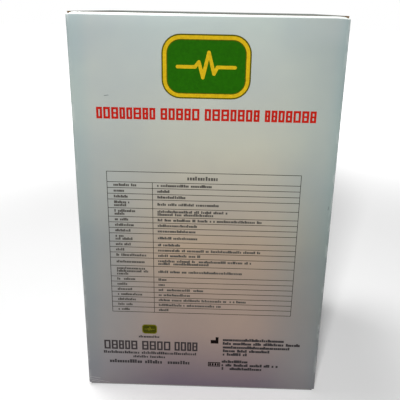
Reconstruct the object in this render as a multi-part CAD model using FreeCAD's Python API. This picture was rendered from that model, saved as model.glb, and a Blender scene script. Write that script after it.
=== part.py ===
"""A boxed upper-arm blood pressure monitor: the tuck-top carton, its inner platform, the
monitor that lies on the platform, and the folded cuff that stands below it.

Millimetres. +Z is up, X is the carton's width and Y its depth. The origin is the centre of the
carton's base. The carton's spec panel faces -Y and carries the lid; the monitor's low, buttoned
edge faces +Y.
"""
import FreeCAD
import Part
import math
import os

from FreeCAD import Matrix, Placement, Vector

# ---- The monitor's housing ----
MONITOR_WIDTH = 128.0
MONITOR_DEPTH = 103.5
MONITOR_HEIGHT = 52.5
MONITOR_FRONT_HEIGHT = 24.0
REAR_LAND = 14.0
CORNER_RADIUS = 16.0
RIM_RADIUS = 4.0
LAND_RADIUS = 14.0
WALL = 2.2
FOOT_HEIGHT = 2.0
FOOT_RADIUS = 5.0
FOOT_INSET = 14.0
FOOT_SINK = 0.8
PARTING_HEIGHT = 16.0
LIP_HEIGHT = 1.6
LIP_THICKNESS = 1.0

# ---- Display, buttons and circuit board, in the sloping face ----
LENS_WIDTH = 84.0
LENS_LENGTH = 54.0
LENS_THICKNESS = 1.2
LENS_REAR_MARGIN = 6.0
LENS_LEDGE = 4.0
LENS_CORNER = 5.0
DISPLAY_THICKNESS = 2.6
HOLDER_WALL = 1.5
BOARD_DEPTH = 9.0
PCB_THICKNESS = 1.6
PCB_SIDE_MARGIN = 14.0
PCB_END_MARGIN = 7.0
PCB_PUMP_GAP = 2.5
ZEBRA_WIDTH = 2.0
START_BUTTON_WIDTH = 34.0
START_BUTTON_LENGTH = 15.0
SMALL_BUTTON_RADIUS = 6.5
SMALL_BUTTON_OFFSET = 36.0
BUTTON_PROUD = 1.3
BUTTON_TRAVEL = 0.8
BUTTON_FLANGE = 1.0
FLANGE_THICKNESS = 1.0
SWITCH_SIZE = 6.0
SWITCH_HEIGHT = 3.4
PLUNGER_RADIUS = 1.7
PLUNGER_PROUD = 1.0
BUZZER_RADIUS = 6.0
BUZZER_HEIGHT = 4.5

# ---- Battery bay ----
CELL_RADIUS = 7.25
CELL_LENGTH = 50.5
CELL_GAP = 0.7
CELL_COUNT = 4
CELL_CAP_RADIUS = 2.7
CELL_CAP_LENGTH = 1.2
SPRING_LENGTH = 3.2
SPRING_RADIUS = 3.4
SPRING_WIRE = 0.8
CONTACT_THICKNESS = 0.5
BAY_WALL = 1.5
COVER_THICKNESS = 2.0
COVER_LEDGE = 2.2
LATCH_WIDTH = 14.0
LATCH_LENGTH = 9.0
LATCH_SLIT = 1.2
THUMB_RADIUS = 7.0

# ---- Air system ----
PUMP_RADIUS = 12.0
MOTOR_LENGTH = 25.0
PUMP_HEAD_LENGTH = 18.0
PUMP_HALF_HEAD = 11.5
PUMP_SIDE_MARGIN = 4.5
PUMP_FLOOR_GAP = 1.0
PUMP_BOSS_GAP = 2.1
CRADLE_INSET = 2.0
NOZZLE_RADIUS = 1.5
NOZZLE_LENGTH = 5.0
TUBE_RADIUS = 2.3
TUBE_GAP = 1.0
TUBE_END_GAP = 0.5
MANIFOLD_WIDTH = 20.0
MANIFOLD_LENGTH = 20.0
MANIFOLD_HEIGHT = 20.0
MANIFOLD_CORNER = 1.5
MANIFOLD_WALL_GAP = 3.8
SOCKET_RADIUS = 5.5
SOCKET_BORE = 2.5
VALVE_RADIUS = 6.0
VALVE_LENGTH = 22.0
SENSOR_PLACE = 27.0
SENSOR_SIZE = 8.0
SENSOR_HEIGHT = 5.0

# ---- Fasteners ----
SCREW_HEAD_RADIUS = 2.6
SCREW_HEAD_HEIGHT = 1.8
SCREW_RADIUS = 1.3
CASE_SCREW_LENGTH = 14.0
BOARD_SCREW_LENGTH = 6.0
BOSS_RADIUS = 3.5
CASE_BOSS_INSET = 7.5
SCREW_SINK = 6.0
SMALL_PART_SIDES = 12

# ---- Cuff ----
CUFF_HEIGHT = 138.0
CUFF_LENGTH = 112.0
CUFF_THICKNESS = 34.0
CUFF_CORE = 7.0
CUFF_CORE_LENGTH = 76.0
BLADDER_LENGTH = 70.0
BLADDER_MARGIN = 10.0
BLADDER_THICKNESS = 5.0
PORT_RADIUS = 3.6
PORT_LENGTH = 9.0
PORT_INSET = 10.0
RING_WIRE = 2.0
RING_DEPTH = 14.0
RING_MARGIN = 6.0
RING_CORNER = 4.5
SLEEVE_WALL = 1.8
PATCH_WIDTH = 56.0
PATCH_MARGIN = 4.0
PATCH_THICKNESS = 1.0

# ---- Papers ----
MANUAL_WIDTH = 105.0
MANUAL_HEIGHT = 142.0
MANUAL_THICKNESS = 2.6
CARD_WIDTH = 88.0
CARD_HEIGHT = 124.0
CARD_THICKNESS = 0.5

# ---- Carton and platform ----
BOARD = 1.5
SIDE_ROOM = 2.0
END_ROOM = 1.75
HEADROOM = 3.4
BAY_HEADROOM = 10.0
GLUE_FLAP_WIDTH = 15.0
GLUE_FLAP_TOP_MARGIN = 6.0
BASE_FLAP_LENGTH = 52.0
DUST_FLAP_LENGTH = 54.0
DUST_FLAP_TAPER_DEG = 30.0
DUST_FLAP_NOTCH = 10.0
LID_SIDE_INSET = 0.5
TUCK_DEPTH = 15.0
TUCK_CLEARANCE = 1.4
TUCK_SIDE_INSET = 2.2
TUCK_CORNER = 9.0
SLIT_LENGTH = 8.0
SLIT_WIDTH = 0.8

# ---- Clearances ----
CREASE_GAP = 0.1
LAYER_GAP = 0.1
SOFT_GAP = 0.3
SLIDE_GAP = 0.35
SLIP_FIT = 0.15
PLATFORM_GAP = 0.8
WINDOW_GAP = 2.0
SWING_GAP = 2.0
RUNNING_GAP = 0.1

# ---- Derived: the carton from what it holds ----
INNER_WIDTH = MONITOR_WIDTH + 2 * SIDE_ROOM
INNER_DEPTH = MONITOR_DEPTH + 2 * END_ROOM
CARTON_WIDTH = INNER_WIDTH + 2 * BOARD
CARTON_DEPTH = INNER_DEPTH + 2 * BOARD
FLOOR_TOP = 3 * BOARD
DECK_UNDERSIDE = FLOOR_TOP + CUFF_HEIGHT + BAY_HEADROOM
DECK_TOP = DECK_UNDERSIDE + BOARD
MONITOR_TOP = DECK_TOP + MONITOR_HEIGHT
DUST_CREASE = MONITOR_TOP + HEADROOM
LID_CREASE = DUST_CREASE + BOARD + LAYER_GAP
CARTON_HEIGHT = LID_CREASE + BOARD
HALF_WIDTH = INNER_WIDTH / 2
HALF_DEPTH = INNER_DEPTH / 2
TUCK_CREASE = HALF_DEPTH - TUCK_CLEARANCE - BOARD

# ---- Derived: the monitor's sloping face ----
HALF_MONITOR = MONITOR_WIDTH / 2
FRONT_EDGE = MONITOR_DEPTH / 2
CASE_FLOOR = DECK_TOP + FOOT_HEIGHT
INNER_FLOOR = CASE_FLOOR + WALL
PARTING = DECK_TOP + PARTING_HEIGHT
SLOPE_RUN = MONITOR_DEPTH - REAR_LAND
SLOPE_RISE = MONITOR_HEIGHT - MONITOR_FRONT_HEIGHT
FACE_ANGLE = math.atan2(SLOPE_RISE, SLOPE_RUN)
FACE_LENGTH = math.hypot(SLOPE_RISE, SLOPE_RUN)
FACE_ORIGIN = Vector(0, FRONT_EDGE, DECK_TOP + MONITOR_FRONT_HEIGHT)
UP_SLOPE = Vector(0, -math.cos(FACE_ANGLE), math.sin(FACE_ANGLE))
FACE_NORMAL = Vector(0, math.sin(FACE_ANGLE), math.cos(FACE_ANGLE))
LENS_CENTRE = FACE_LENGTH - LENS_REAR_MARGIN - LENS_LENGTH / 2
BUTTON_ROW = (FACE_LENGTH - LENS_REAR_MARGIN - LENS_LENGTH) / 2

FLANGE_TOP = -WALL - RUNNING_GAP
SWITCH_TOP = -BOARD_DEPTH + SWITCH_HEIGHT
PLUNGER_TOP = SWITCH_TOP + PLUNGER_PROUD
DISPLAY_TOP = -WALL - 2 * SLIDE_GAP
BOARD_UNDERSIDE = -BOARD_DEPTH - PCB_THICKNESS

# ---- Derived: the battery bay ----
CELL_PITCH = 2 * CELL_RADIUS + CELL_GAP
BAY_HALF_WIDTH = CELL_COUNT * CELL_PITCH / 2
BAY_LENGTH = CELL_LENGTH + SPRING_LENGTH + 2 * CONTACT_THICKNESS
BAY_REAR = -FRONT_EDGE + WALL + COVER_LEDGE + BAY_WALL
BAY_FRONT = BAY_REAR + BAY_LENGTH
COVER_TOP = CASE_FLOOR + COVER_THICKNESS
CELL_AXIS = COVER_TOP + SOFT_GAP + CELL_RADIUS
BAY_ROOF = CELL_AXIS + CELL_RADIUS + SOFT_GAP
COVER_HALF_WIDTH = BAY_HALF_WIDTH + COVER_LEDGE
COVER_REAR = BAY_REAR - COVER_LEDGE
COVER_FRONT = BAY_FRONT + COVER_LEDGE
COVER_AXIS = Vector(0, COVER_REAR + COVER_THICKNESS / 2, CASE_FLOOR + COVER_THICKNESS / 2)

# ---- Derived: the air system ----
PUMP_X = HALF_MONITOR - PUMP_SIDE_MARGIN - PUMP_RADIUS
PUMP_Z = INNER_FLOOR + PUMP_FLOOR_GAP + PUMP_RADIUS
PUMP_REAR = -FRONT_EDGE + CASE_BOSS_INSET + BOSS_RADIUS + PUMP_BOSS_GAP
PUMP_FRONT = PUMP_REAR + PUMP_HEAD_LENGTH
NOZZLE_Z = BAY_ROOF + BAY_WALL + TUBE_RADIUS + TUBE_GAP
MANIFOLD_LEFT = -HALF_MONITOR + WALL + MANIFOLD_WALL_GAP
MANIFOLD_RIGHT = MANIFOLD_LEFT + MANIFOLD_WIDTH
MANIFOLD_REAR = PUMP_REAR + PUMP_HEAD_LENGTH / 2 - MANIFOLD_LENGTH / 2
MANIFOLD_FRONT = MANIFOLD_REAR + MANIFOLD_LENGTH
AIR_LINE_Y = PUMP_REAR + PUMP_HEAD_LENGTH / 2
VALVE_X = MANIFOLD_LEFT + VALVE_RADIUS
SENSOR_X = MANIFOLD_RIGHT - TUBE_RADIUS
SENSOR_CENTRE_DEPTH = BOARD_UNDERSIDE - SENSOR_HEIGHT / 2
SOCKET_Z = PARTING + LIP_HEIGHT + SOCKET_RADIUS + SLIDE_GAP

# ---- Derived: the stowage bay below the deck ----
LEG_OUTSIDE = HALF_WIDTH - BOARD - PLATFORM_GAP / 2
LEG_INSIDE = LEG_OUTSIDE - BOARD
CUFF_BACK = HALF_DEPTH - SWING_GAP
CUFF_FACE = CUFF_BACK - CUFF_THICKNESS
CUFF_MIDDLE = (CUFF_BACK + CUFF_FACE) / 2
CUFF_BOTTOM = FLOOR_TOP + SOFT_GAP
CUFF_TOP = CUFF_BOTTOM + CUFF_HEIGHT
CUFF_LEFT = -LEG_INSIDE + SWING_GAP
CUFF_RIGHT = CUFF_LEFT + CUFF_LENGTH - RING_WIRE * 4
SLEEVE_RADIUS = RING_WIRE + SLEEVE_WALL + SOFT_GAP
RING_X = CUFF_RIGHT + SLEEVE_RADIUS
RING_LENGTH = CUFF_HEIGHT - 2 * RING_MARGIN
SLEEVE_LENGTH = RING_LENGTH - 6 * RING_WIRE
SLEEVE_BOTTOM = CUFF_BOTTOM + (CUFF_HEIGHT - SLEEVE_LENGTH) / 2
BLADDER_BACK = CUFF_FACE + (CUFF_THICKNESS / 2 - CUFF_CORE / 2 - BLADDER_THICKNESS) / 2
BLADDER_HEIGHT = CUFF_HEIGHT - 2 * BLADDER_MARGIN
BLADDER_BOTTOM = CUFF_BOTTOM + BLADDER_MARGIN
PORT_LEVEL = BLADDER_BOTTOM + PORT_INSET + PORT_RADIUS
PAPER_BACK = -HALF_DEPTH + SOFT_GAP


def block(x_range, y_range, z_range):
    """A box between a low and a high value along each axis."""
    low = Vector(x_range[0], y_range[0], z_range[0])
    return Part.makeBox(x_range[1] - x_range[0], y_range[1] - y_range[0], z_range[1] - z_range[0], low)


def rod(radius, start, direction, length):
    """A round bar from start along direction."""
    return Part.makeCylinder(radius, length, start, direction)


def small_rod(radius, start, direction, length):
    """A small repeated part's bar, with a few flat sides instead of a round one."""
    circle = Part.makeCircle(radius, start, direction)
    corners = circle.discretize(SMALL_PART_SIDES + 1)
    return Part.Face(Part.makePolygon(corners)).extrude(direction * length)


def corner_arc(before, corner, after, radius):
    """The arc that rounds a corner, as its first, middle and last point."""
    incoming = (before - corner).normalize()
    outgoing = (after - corner).normalize()
    half_angle = incoming.getAngle(outgoing) / 2
    reach = radius / math.tan(half_angle)
    bisector = (incoming + outgoing).normalize()
    middle = corner + bisector * (radius / math.sin(half_angle) - radius)
    return corner + incoming * reach, middle, corner + outgoing * reach


def outline(corners):
    """A flat face in XY from (x, y, radius) corners, each rounded by its radius."""
    points = [Vector(x, y, 0) for x, y, _ in corners]
    count = len(points)
    rounded = []
    for index, (_, _, radius) in enumerate(corners):
        corner = points[index]
        if radius > 0:
            rounded.append(corner_arc(points[index - 1], corner, points[(index + 1) % count], radius))
        else:
            rounded.append((corner, corner, corner))
    edges = []
    for index, (first, middle, last) in enumerate(rounded):
        if first.distanceToPoint(last) > 1e-6:
            edges.append(Part.Arc(first, middle, last).toShape())
        following = rounded[(index + 1) % count][0]
        if last.distanceToPoint(following) > 1e-6:
            edges.append(Part.makeLine(last, following))
    return Part.Face(Part.Wire(edges))


def rounded_rectangle(half_width, half_length, radius, centre=(0.0, 0.0)):
    """A rectangle's face in XY about a centre, with four equal corner radii."""
    x, y = centre
    return outline([
        (x - half_width, y - half_length, radius),
        (x + half_width, y - half_length, radius),
        (x + half_width, y + half_length, radius),
        (x - half_width, y + half_length, radius),
    ])


def frame_at(origin, x_axis, y_axis):
    """The placement whose local X and Y lie along the given axes."""
    z_axis = x_axis.cross(y_axis)
    matrix = Matrix(
        x_axis.x, y_axis.x, z_axis.x, origin.x,
        x_axis.y, y_axis.y, z_axis.y, origin.y,
        x_axis.z, y_axis.z, z_axis.z, origin.z,
        0, 0, 0, 1,
    )
    return Placement(matrix)


def slab(face, placement, low, high):
    """A local XY face raised from low to high along local Z, then put in place."""
    solid = face.extrude(Vector(0, 0, high - low))
    solid.translate(Vector(0, 0, low))
    solid.Placement = placement.multiply(solid.Placement)
    return solid


def upright(face, low, high):
    """A plan outline raised from one height to another."""
    return slab(face, Placement(), low, high)


def group(solids):
    """Several separate solids in one node."""
    return Part.makeCompound(solids)


X_AXIS = Vector(1, 0, 0)
Y_AXIS = Vector(0, 1, 0)
Z_AXIS = Vector(0, 0, 1)
FACE_FRAME = frame_at(FACE_ORIGIN, X_AXIS * -1, UP_SLOPE)
SENSOR_CENTRE = FACE_FRAME.multVec(Vector(-SENSOR_X, SENSOR_PLACE, SENSOR_CENTRE_DEPTH))


# ---- Carton ----

def crease_frame(origin, away, outward):
    """A flap's frame: local X along the crease, Y away from it, Z out of the printed side."""
    return frame_at(origin, away.cross(outward), away)


def rounded_fold(placement, length, reach):
    """The outer side of a fold: a round bar of board about the crease, kept out to reach."""
    bar = Part.makeCylinder(BOARD, length, Vector(-length / 2, 0, 0), X_AXIS)
    fold = bar.common(block((-length, length), (-BOARD, reach), (0, BOARD)))
    fold.Placement = placement.multiply(fold.Placement)
    return fold


def crease_cap(placement, length):
    """The half-round fold that a panel ends in, about which its flap turns."""
    return rounded_fold(placement, length, BOARD)


def hinged_flap(face, placement, length):
    """A flap that turns about its crease, hollowed at the root to clear the rounded fold."""
    flap = slab(face, placement, 0, BOARD)
    relief = Part.makeCylinder(BOARD + CREASE_GAP, length, Vector(-length / 2, 0, 0), X_AXIS)
    relief.Placement = placement.multiply(relief.Placement)
    return flap.cut(relief)


def glued_flap(face, placement, crease_length):
    """A flap folded once and glued, with the quarter round of its fold."""
    flap = slab(face, placement, 0, BOARD)
    return flap.fuse(rounded_fold(placement, crease_length, 0)).removeSplitter()


LID_FRAME = crease_frame(Vector(0, -HALF_DEPTH, LID_CREASE), Y_AXIS, Z_AXIS)
TUCK_FRAME = crease_frame(Vector(0, TUCK_CREASE, LID_CREASE), Z_AXIS * -1, Y_AXIS)


def dust_frame(side):
    """The crease of the top dust flap on the left (-1) or right (1) side panel."""
    return crease_frame(Vector(side * HALF_WIDTH, 0, DUST_CREASE), X_AXIS * -side, Z_AXIS)


def back_panel():
    """The spec panel: rounded at its left corner, at the glue flap's fold and along the lid's crease."""
    seam = HALF_WIDTH - BOARD
    wall = upright(outline([
        (-HALF_WIDTH - BOARD, -HALF_DEPTH, 0),
        (-HALF_WIDTH - BOARD, -HALF_DEPTH - BOARD, BOARD),
        (seam + BOARD, -HALF_DEPTH - BOARD, BOARD),
        (seam + BOARD, -HALF_DEPTH, 0),
    ]), BOARD, LID_CREASE)
    width = seam + HALF_WIDTH
    cap = crease_cap(LID_FRAME, width)
    cap.translate(Vector(seam - width / 2, 0, 0))
    return wall.fuse(cap).removeSplitter()


def front_panel():
    """The plain panel that the tuck flap slides behind, with two rounded corners."""
    return upright(outline([
        (-HALF_WIDTH - BOARD, HALF_DEPTH, 0),
        (HALF_WIDTH + BOARD, HALF_DEPTH, 0),
        (HALF_WIDTH + BOARD, HALF_DEPTH + BOARD, BOARD),
        (-HALF_WIDTH - BOARD, HALF_DEPTH + BOARD, BOARD),
    ]), 2 * BOARD, CARTON_HEIGHT)


def side_panel(side):
    """A side panel, with the rounded fold of its dust flap on top."""
    inner, outer = sorted((side * HALF_WIDTH, side * (HALF_WIDTH + BOARD)))
    rear = -HALF_DEPTH - BOARD if side > 0 else -HALF_DEPTH
    wall = block((inner, outer), (rear, HALF_DEPTH), (3 * BOARD, DUST_CREASE))
    return wall.fuse(crease_cap(dust_frame(side), INNER_DEPTH)).removeSplitter()


def glue_flap():
    """The back panel's seam flap, glued inside the right side panel."""
    top = DUST_CREASE - GLUE_FLAP_TOP_MARGIN
    placement = frame_at(Vector(HALF_WIDTH - BOARD, -HALF_DEPTH, 0), Y_AXIS, Z_AXIS)
    return slab(outline([
        (0, FLOOR_TOP, 0),
        (GLUE_FLAP_WIDTH, FLOOR_TOP + GLUE_FLAP_TOP_MARGIN, 0),
        (GLUE_FLAP_WIDTH, top - GLUE_FLAP_TOP_MARGIN, 0),
        (0, top, 0),
    ]), placement, 0, BOARD)


def top_lid():
    """The lid's plate, notched by two slits beside the tuck flap's crease."""
    half = HALF_WIDTH + BOARD - LID_SIDE_INSET
    depth = TUCK_CREASE + HALF_DEPTH
    plate = hinged_flap(
        outline([(-half, 0, 0), (half, 0, 0), (half, depth, 0), (-half, depth, 0)]),
        LID_FRAME, 2 * CARTON_WIDTH)
    width = 2 * (half - TUCK_SIDE_INSET - SLIT_LENGTH)
    nose = crease_cap(TUCK_FRAME, width)
    return plate.fuse(nose).removeSplitter()


def tuck_flap():
    """The tuck flap, with rounded lower corners and shoulders cut clear by the slits."""
    half = HALF_WIDTH - TUCK_SIDE_INSET
    crease = half - SLIT_LENGTH
    shoulder = BOARD + SLIT_WIDTH
    face = outline([
        (-crease, 0, 0),
        (crease, 0, 0),
        (crease, shoulder, 0),
        (half, shoulder, 0),
        (half, TUCK_DEPTH, TUCK_CORNER),
        (-half, TUCK_DEPTH, TUCK_CORNER),
        (-half, shoulder, 0),
        (-crease, shoulder, 0),
    ])
    return hinged_flap(face, TUCK_FRAME, 2 * CARTON_WIDTH)


def dust_flap(side):
    """A tapered top dust flap, notched where the tuck flap passes."""
    rear = -HALF_DEPTH + BOARD
    front = TUCK_CREASE - SWING_GAP
    taper = DUST_FLAP_LENGTH * math.tan(math.radians(DUST_FLAP_TAPER_DEG))
    edges = [
        (rear, 0, 0),
        (front, 0, 0),
        (front, DUST_FLAP_LENGTH - DUST_FLAP_NOTCH, 0),
        (front - DUST_FLAP_NOTCH, DUST_FLAP_LENGTH, 0),
        (rear + taper, DUST_FLAP_LENGTH, DUST_FLAP_NOTCH / 2),
    ]
    face = outline([(side * y, away, radius) for y, away, radius in edges])
    return hinged_flap(face, dust_frame(side), 2 * CARTON_DEPTH)


def outer_base_flap():
    """The base flap folded from the back panel, outermost."""
    half = HALF_WIDTH
    placement = crease_frame(Vector(0, -HALF_DEPTH, BOARD), Y_AXIS, Z_AXIS * -1)
    depth = 2 * HALF_DEPTH + BOARD / 2
    face = outline([(-half, 0, 0), (half, 0, 0), (half, depth, 2), (-half, depth, 2)])
    return glued_flap(face, placement, 2 * half)


def inner_base_flap():
    """The base flap folded from the front panel, glued above the outer one."""
    half = HALF_WIDTH - LID_SIDE_INSET
    placement = crease_frame(Vector(0, HALF_DEPTH, 2 * BOARD), Y_AXIS * -1, Z_AXIS * -1)
    depth = 2 * HALF_DEPTH - BOARD
    face = outline([(-half, 0, 0), (half, 0, 0), (half, depth, 2), (-half, depth, 2)])
    return glued_flap(face, placement, 2 * half)


def base_dust_flap(side):
    """A base dust flap folded from a side panel, glued above the inner base flap."""
    placement = crease_frame(Vector(side * HALF_WIDTH, 0, 3 * BOARD), X_AXIS * -side, Z_AXIS * -1)
    half = HALF_DEPTH - LID_SIDE_INSET
    length = BASE_FLAP_LENGTH
    face = outline([
        (-half, 0, 0),
        (half, 0, 0),
        (half - DUST_FLAP_NOTCH, length, 4),
        (-half + DUST_FLAP_NOTCH, length, 4),
    ])
    return glued_flap(face, placement, 2 * half)


def inner_platform():
    """The folded board that carries the monitor: a deck on two full-depth legs."""
    rear = -HALF_DEPTH + PLATFORM_GAP
    front = HALF_DEPTH - PLATFORM_GAP
    profile = outline([
        (LEG_OUTSIDE, FLOOR_TOP, 0),
        (LEG_OUTSIDE, DECK_TOP, BOARD),
        (-LEG_OUTSIDE, DECK_TOP, BOARD),
        (-LEG_OUTSIDE, FLOOR_TOP, 0),
        (-LEG_INSIDE, FLOOR_TOP, 0),
        (-LEG_INSIDE, DECK_UNDERSIDE, 0),
        (LEG_INSIDE, DECK_UNDERSIDE, 0),
        (LEG_INSIDE, FLOOR_TOP, 0),
    ])
    bent = slab(profile, frame_at(Vector(0, front, 0), X_AXIS, Z_AXIS), 0, front - rear)
    middle = (COVER_REAR + COVER_FRONT) / 2
    window = rounded_rectangle(
        COVER_HALF_WIDTH + WINDOW_GAP, (COVER_FRONT - COVER_REAR) / 2 + WINDOW_GAP, 3, (0, middle))
    return bent.cut(upright(window, DECK_UNDERSIDE - BOARD, DECK_TOP + BOARD))


# ---- Monitor housing ----

def housing(inset, floor):
    """The wedge-shaped housing's solid, drawn in by inset, from floor up.

    Its side view is a low front edge, a straight slope and a short level land at the rear. Its
    plan is a rounded rectangle.
    """
    rear = -FRONT_EDGE + inset
    front = FRONT_EDGE - inset
    lift = inset / math.cos(FACE_ANGLE)
    slope = math.tan(FACE_ANGLE)
    top = MONITOR_TOP - inset
    front_top = DECK_TOP + MONITOR_FRONT_HEIGHT - lift + inset * slope
    land = FRONT_EDGE - SLOPE_RUN - (inset - lift) / slope
    profile = outline([
        (rear, floor, 0),
        (front, floor, 0),
        (front, front_top, 0),
        (land, top, LAND_RADIUS),
        (rear, top, 0),
    ])
    wide = slab(profile, frame_at(Vector(-HALF_MONITOR + inset, 0, 0), Y_AXIS, Z_AXIS),
                0, MONITOR_WIDTH - 2 * inset)
    plan = rounded_rectangle(HALF_MONITOR - inset, FRONT_EDGE - inset, CORNER_RADIUS - inset)
    return wide.common(upright(plan, floor, MONITOR_TOP)).Solids[0]


def soften_rim(solid, radius):
    """Round the housing's upper edges, all round the sloping face and the rear land."""
    rim = []
    for edge in solid.Edges:
        middle = edge.valueAt((edge.FirstParameter + edge.LastParameter) / 2)
        faces = solid.ancestorsOfType(edge, Part.Face)
        upward = [face for face in faces if is_upper(face)]
        if len(upward) == 1 and middle.z > PARTING:
            rim.append(edge)
    return solid.makeFillet(radius, rim)


def is_upper(face):
    """Whether a face of the housing looks mostly upwards."""
    first_u, last_u, first_v, last_v = face.ParameterRange
    return face.normalAt((first_u + last_u) / 2, (first_v + last_v) / 2).z > 0.3


def face_slab(face, low, high):
    """A solid in the sloping face's frame: X to the left, Y up the slope, Z out of the face."""
    return slab(face, FACE_FRAME, low, high)


def face_disc(radius, place):
    """A round outline at a place in the face's frame."""
    return Part.Face(Part.Wire(Part.makeCircle(radius, Vector(place[0], place[1], 0))))


def case_boss_places():
    """The four corner bosses where the case screws run, as (x, y)."""
    x = HALF_MONITOR - CASE_BOSS_INSET
    y = FRONT_EDGE - CASE_BOSS_INSET
    return [(sx * x, sy * y) for sx in (-1, 1) for sy in (-1, 1)]


def board_pillar_places():
    """The three board pillars in the face's frame, clear of the display and the pump."""
    across = HALF_MONITOR - PCB_SIDE_MARGIN - BOSS_RADIUS
    low = PCB_END_MARGIN + BOSS_RADIUS
    high = FACE_LENGTH - PCB_END_MARGIN - BOSS_RADIUS
    return [(across, low), (across, high), (-across, low)]


def button_specs():
    """Each button's name, place across the face, and its half width and half length."""
    half_start = START_BUTTON_WIDTH / 2
    small = SMALL_BUTTON_RADIUS
    return [
        ("start", 0.0, half_start, START_BUTTON_LENGTH / 2),
        ("memory", SMALL_BUTTON_OFFSET, small, small),
        ("set", -SMALL_BUTTON_OFFSET, small, small),
    ]


def button_face(place, half_width, half_length, growth):
    """A button's outline in the face's frame, grown on every side."""
    across = half_width + growth
    along = half_length + growth
    return rounded_rectangle(across, along, along, (place, BUTTON_ROW))


def top_case():
    """The upper shell: lens recess, button holes, screw bosses and board pillars."""
    outer = soften_rim(housing(0, PARTING), RIM_RADIUS)
    inside = housing(WALL, PARTING)
    shell = outer.cut(inside)
    mid_wall = housing(WALL / 2, PARTING)
    additions = []
    for x, y in case_boss_places():
        pillar = rod(BOSS_RADIUS, Vector(x, y, PARTING), Z_AXIS, MONITOR_HEIGHT)
        additions.append(pillar.common(mid_wall))
    for place in board_pillar_places():
        pillar = face_slab(face_disc(BOSS_RADIUS, place), -BOARD_DEPTH, 0)
        additions.append(pillar.common(mid_wall))
    shell = shell.fuse(additions)
    cuts = [
        face_slab(rounded_rectangle(LENS_WIDTH / 2, LENS_LENGTH / 2, LENS_CORNER, (0, LENS_CENTRE)),
                  -LENS_THICKNESS, BOARD_DEPTH),
        face_slab(rounded_rectangle(LENS_WIDTH / 2 - LENS_LEDGE, LENS_LENGTH / 2 - LENS_LEDGE,
                                    LENS_CORNER / 2, (0, LENS_CENTRE)), -BOARD_DEPTH, BOARD_DEPTH),
        rod(SOCKET_RADIUS + SLIP_FIT, Vector(-MONITOR_WIDTH, AIR_LINE_Y, SOCKET_Z), X_AXIS,
            HALF_MONITOR + WALL + 1),
    ]
    for _, place, half_width, half_length in button_specs():
        hole = button_face(place, half_width, half_length, SLIDE_GAP)
        cuts.append(face_slab(hole, -BOARD_DEPTH / 2, BOARD_DEPTH))
    for x, y in case_boss_places():
        depth = CASE_SCREW_LENGTH - PARTING_HEIGHT + FOOT_HEIGHT + SCREW_SINK + 1
        cuts.append(rod(SCREW_RADIUS, Vector(x, y, PARTING), Z_AXIS, depth))
    for place in board_pillar_places():
        bore = face_disc(SCREW_RADIUS, place)
        cuts.append(face_slab(bore, -BOARD_DEPTH, BOARD_UNDERSIDE + BOARD_SCREW_LENGTH))
    return shell.cut(cuts)


def bottom_case():
    """The lower shell: battery bay, lip, cradle ribs, counterbored bosses and foot recesses."""
    outer = housing(0, CASE_FLOOR).common(
        block((-MONITOR_WIDTH, MONITOR_WIDTH), (-MONITOR_DEPTH, MONITOR_DEPTH), (CASE_FLOOR, PARTING)))
    hollow = housing(WALL, INNER_FLOOR)
    lip_outer = housing(WALL + SLIP_FIT, PARTING - LIP_HEIGHT).common(
        block((-MONITOR_WIDTH, MONITOR_WIDTH), (-MONITOR_DEPTH, MONITOR_DEPTH),
              (PARTING - LIP_HEIGHT, PARTING + LIP_HEIGHT)))
    lip = lip_outer.cut(housing(WALL + SLIP_FIT + LIP_THICKNESS, PARTING - 2 * LIP_HEIGHT))
    straight = CASE_BOSS_INSET + BOSS_RADIUS + 2 * SLIP_FIT
    corners = [
        block(sorted((sx * HALF_MONITOR, sx * (HALF_MONITOR - straight))),
              sorted((sy * FRONT_EDGE, sy * (FRONT_EDGE - straight))), (PARTING, PARTING + LIP_HEIGHT))
        for sx in (-1, 1) for sy in (-1, 1)]
    lip_root = outer.common(lip_ring_root())
    shell = outer.cut(hollow).fuse([lip.cut(corners), lip_root])
    bay = block(
        (-BAY_HALF_WIDTH - BAY_WALL, BAY_HALF_WIDTH + BAY_WALL),
        (BAY_REAR - BAY_WALL, BAY_FRONT + BAY_WALL), (CASE_FLOOR, BAY_ROOF + BAY_WALL))
    additions = [bay]
    for x, y in case_boss_places():
        additions.append(rod(BOSS_RADIUS, Vector(x, y, CASE_FLOOR), Z_AXIS, PARTING - CASE_FLOOR))
    shell = shell.fuse(additions)
    cover_middle = (COVER_REAR + COVER_FRONT) / 2
    cuts = [
        block((-BAY_HALF_WIDTH, BAY_HALF_WIDTH), (BAY_REAR, BAY_FRONT), (CASE_FLOOR - 1, BAY_ROOF)),
        upright(rounded_rectangle(COVER_HALF_WIDTH + SLIDE_GAP,
                                  (COVER_FRONT - COVER_REAR) / 2 + SLIDE_GAP, 0.5, (0, cover_middle)),
                CASE_FLOOR - 1, COVER_TOP + RUNNING_GAP),
    ]
    for x, y in case_boss_places():
        cuts.append(rod(SCREW_HEAD_RADIUS + SLIP_FIT, Vector(x, y, CASE_FLOOR), Z_AXIS, SCREW_SINK))
        cuts.append(rod(SCREW_RADIUS + SLIP_FIT, Vector(x, y, CASE_FLOOR), Z_AXIS, PARTING_HEIGHT))
    for x, y in foot_places():
        cuts.append(rod(FOOT_RADIUS, Vector(x, y, CASE_FLOOR), Z_AXIS, FOOT_SINK))
    return shell.cut(cuts)


def lip_ring_root():
    """The band that joins the lip to the wall below the parting line."""
    band = (PARTING - LIP_HEIGHT, PARTING)
    whole = block((-MONITOR_WIDTH, MONITOR_WIDTH), (-MONITOR_DEPTH, MONITOR_DEPTH), band)
    return whole.cut(housing(WALL + SLIP_FIT + LIP_THICKNESS, PARTING - 2 * LIP_HEIGHT))


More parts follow.
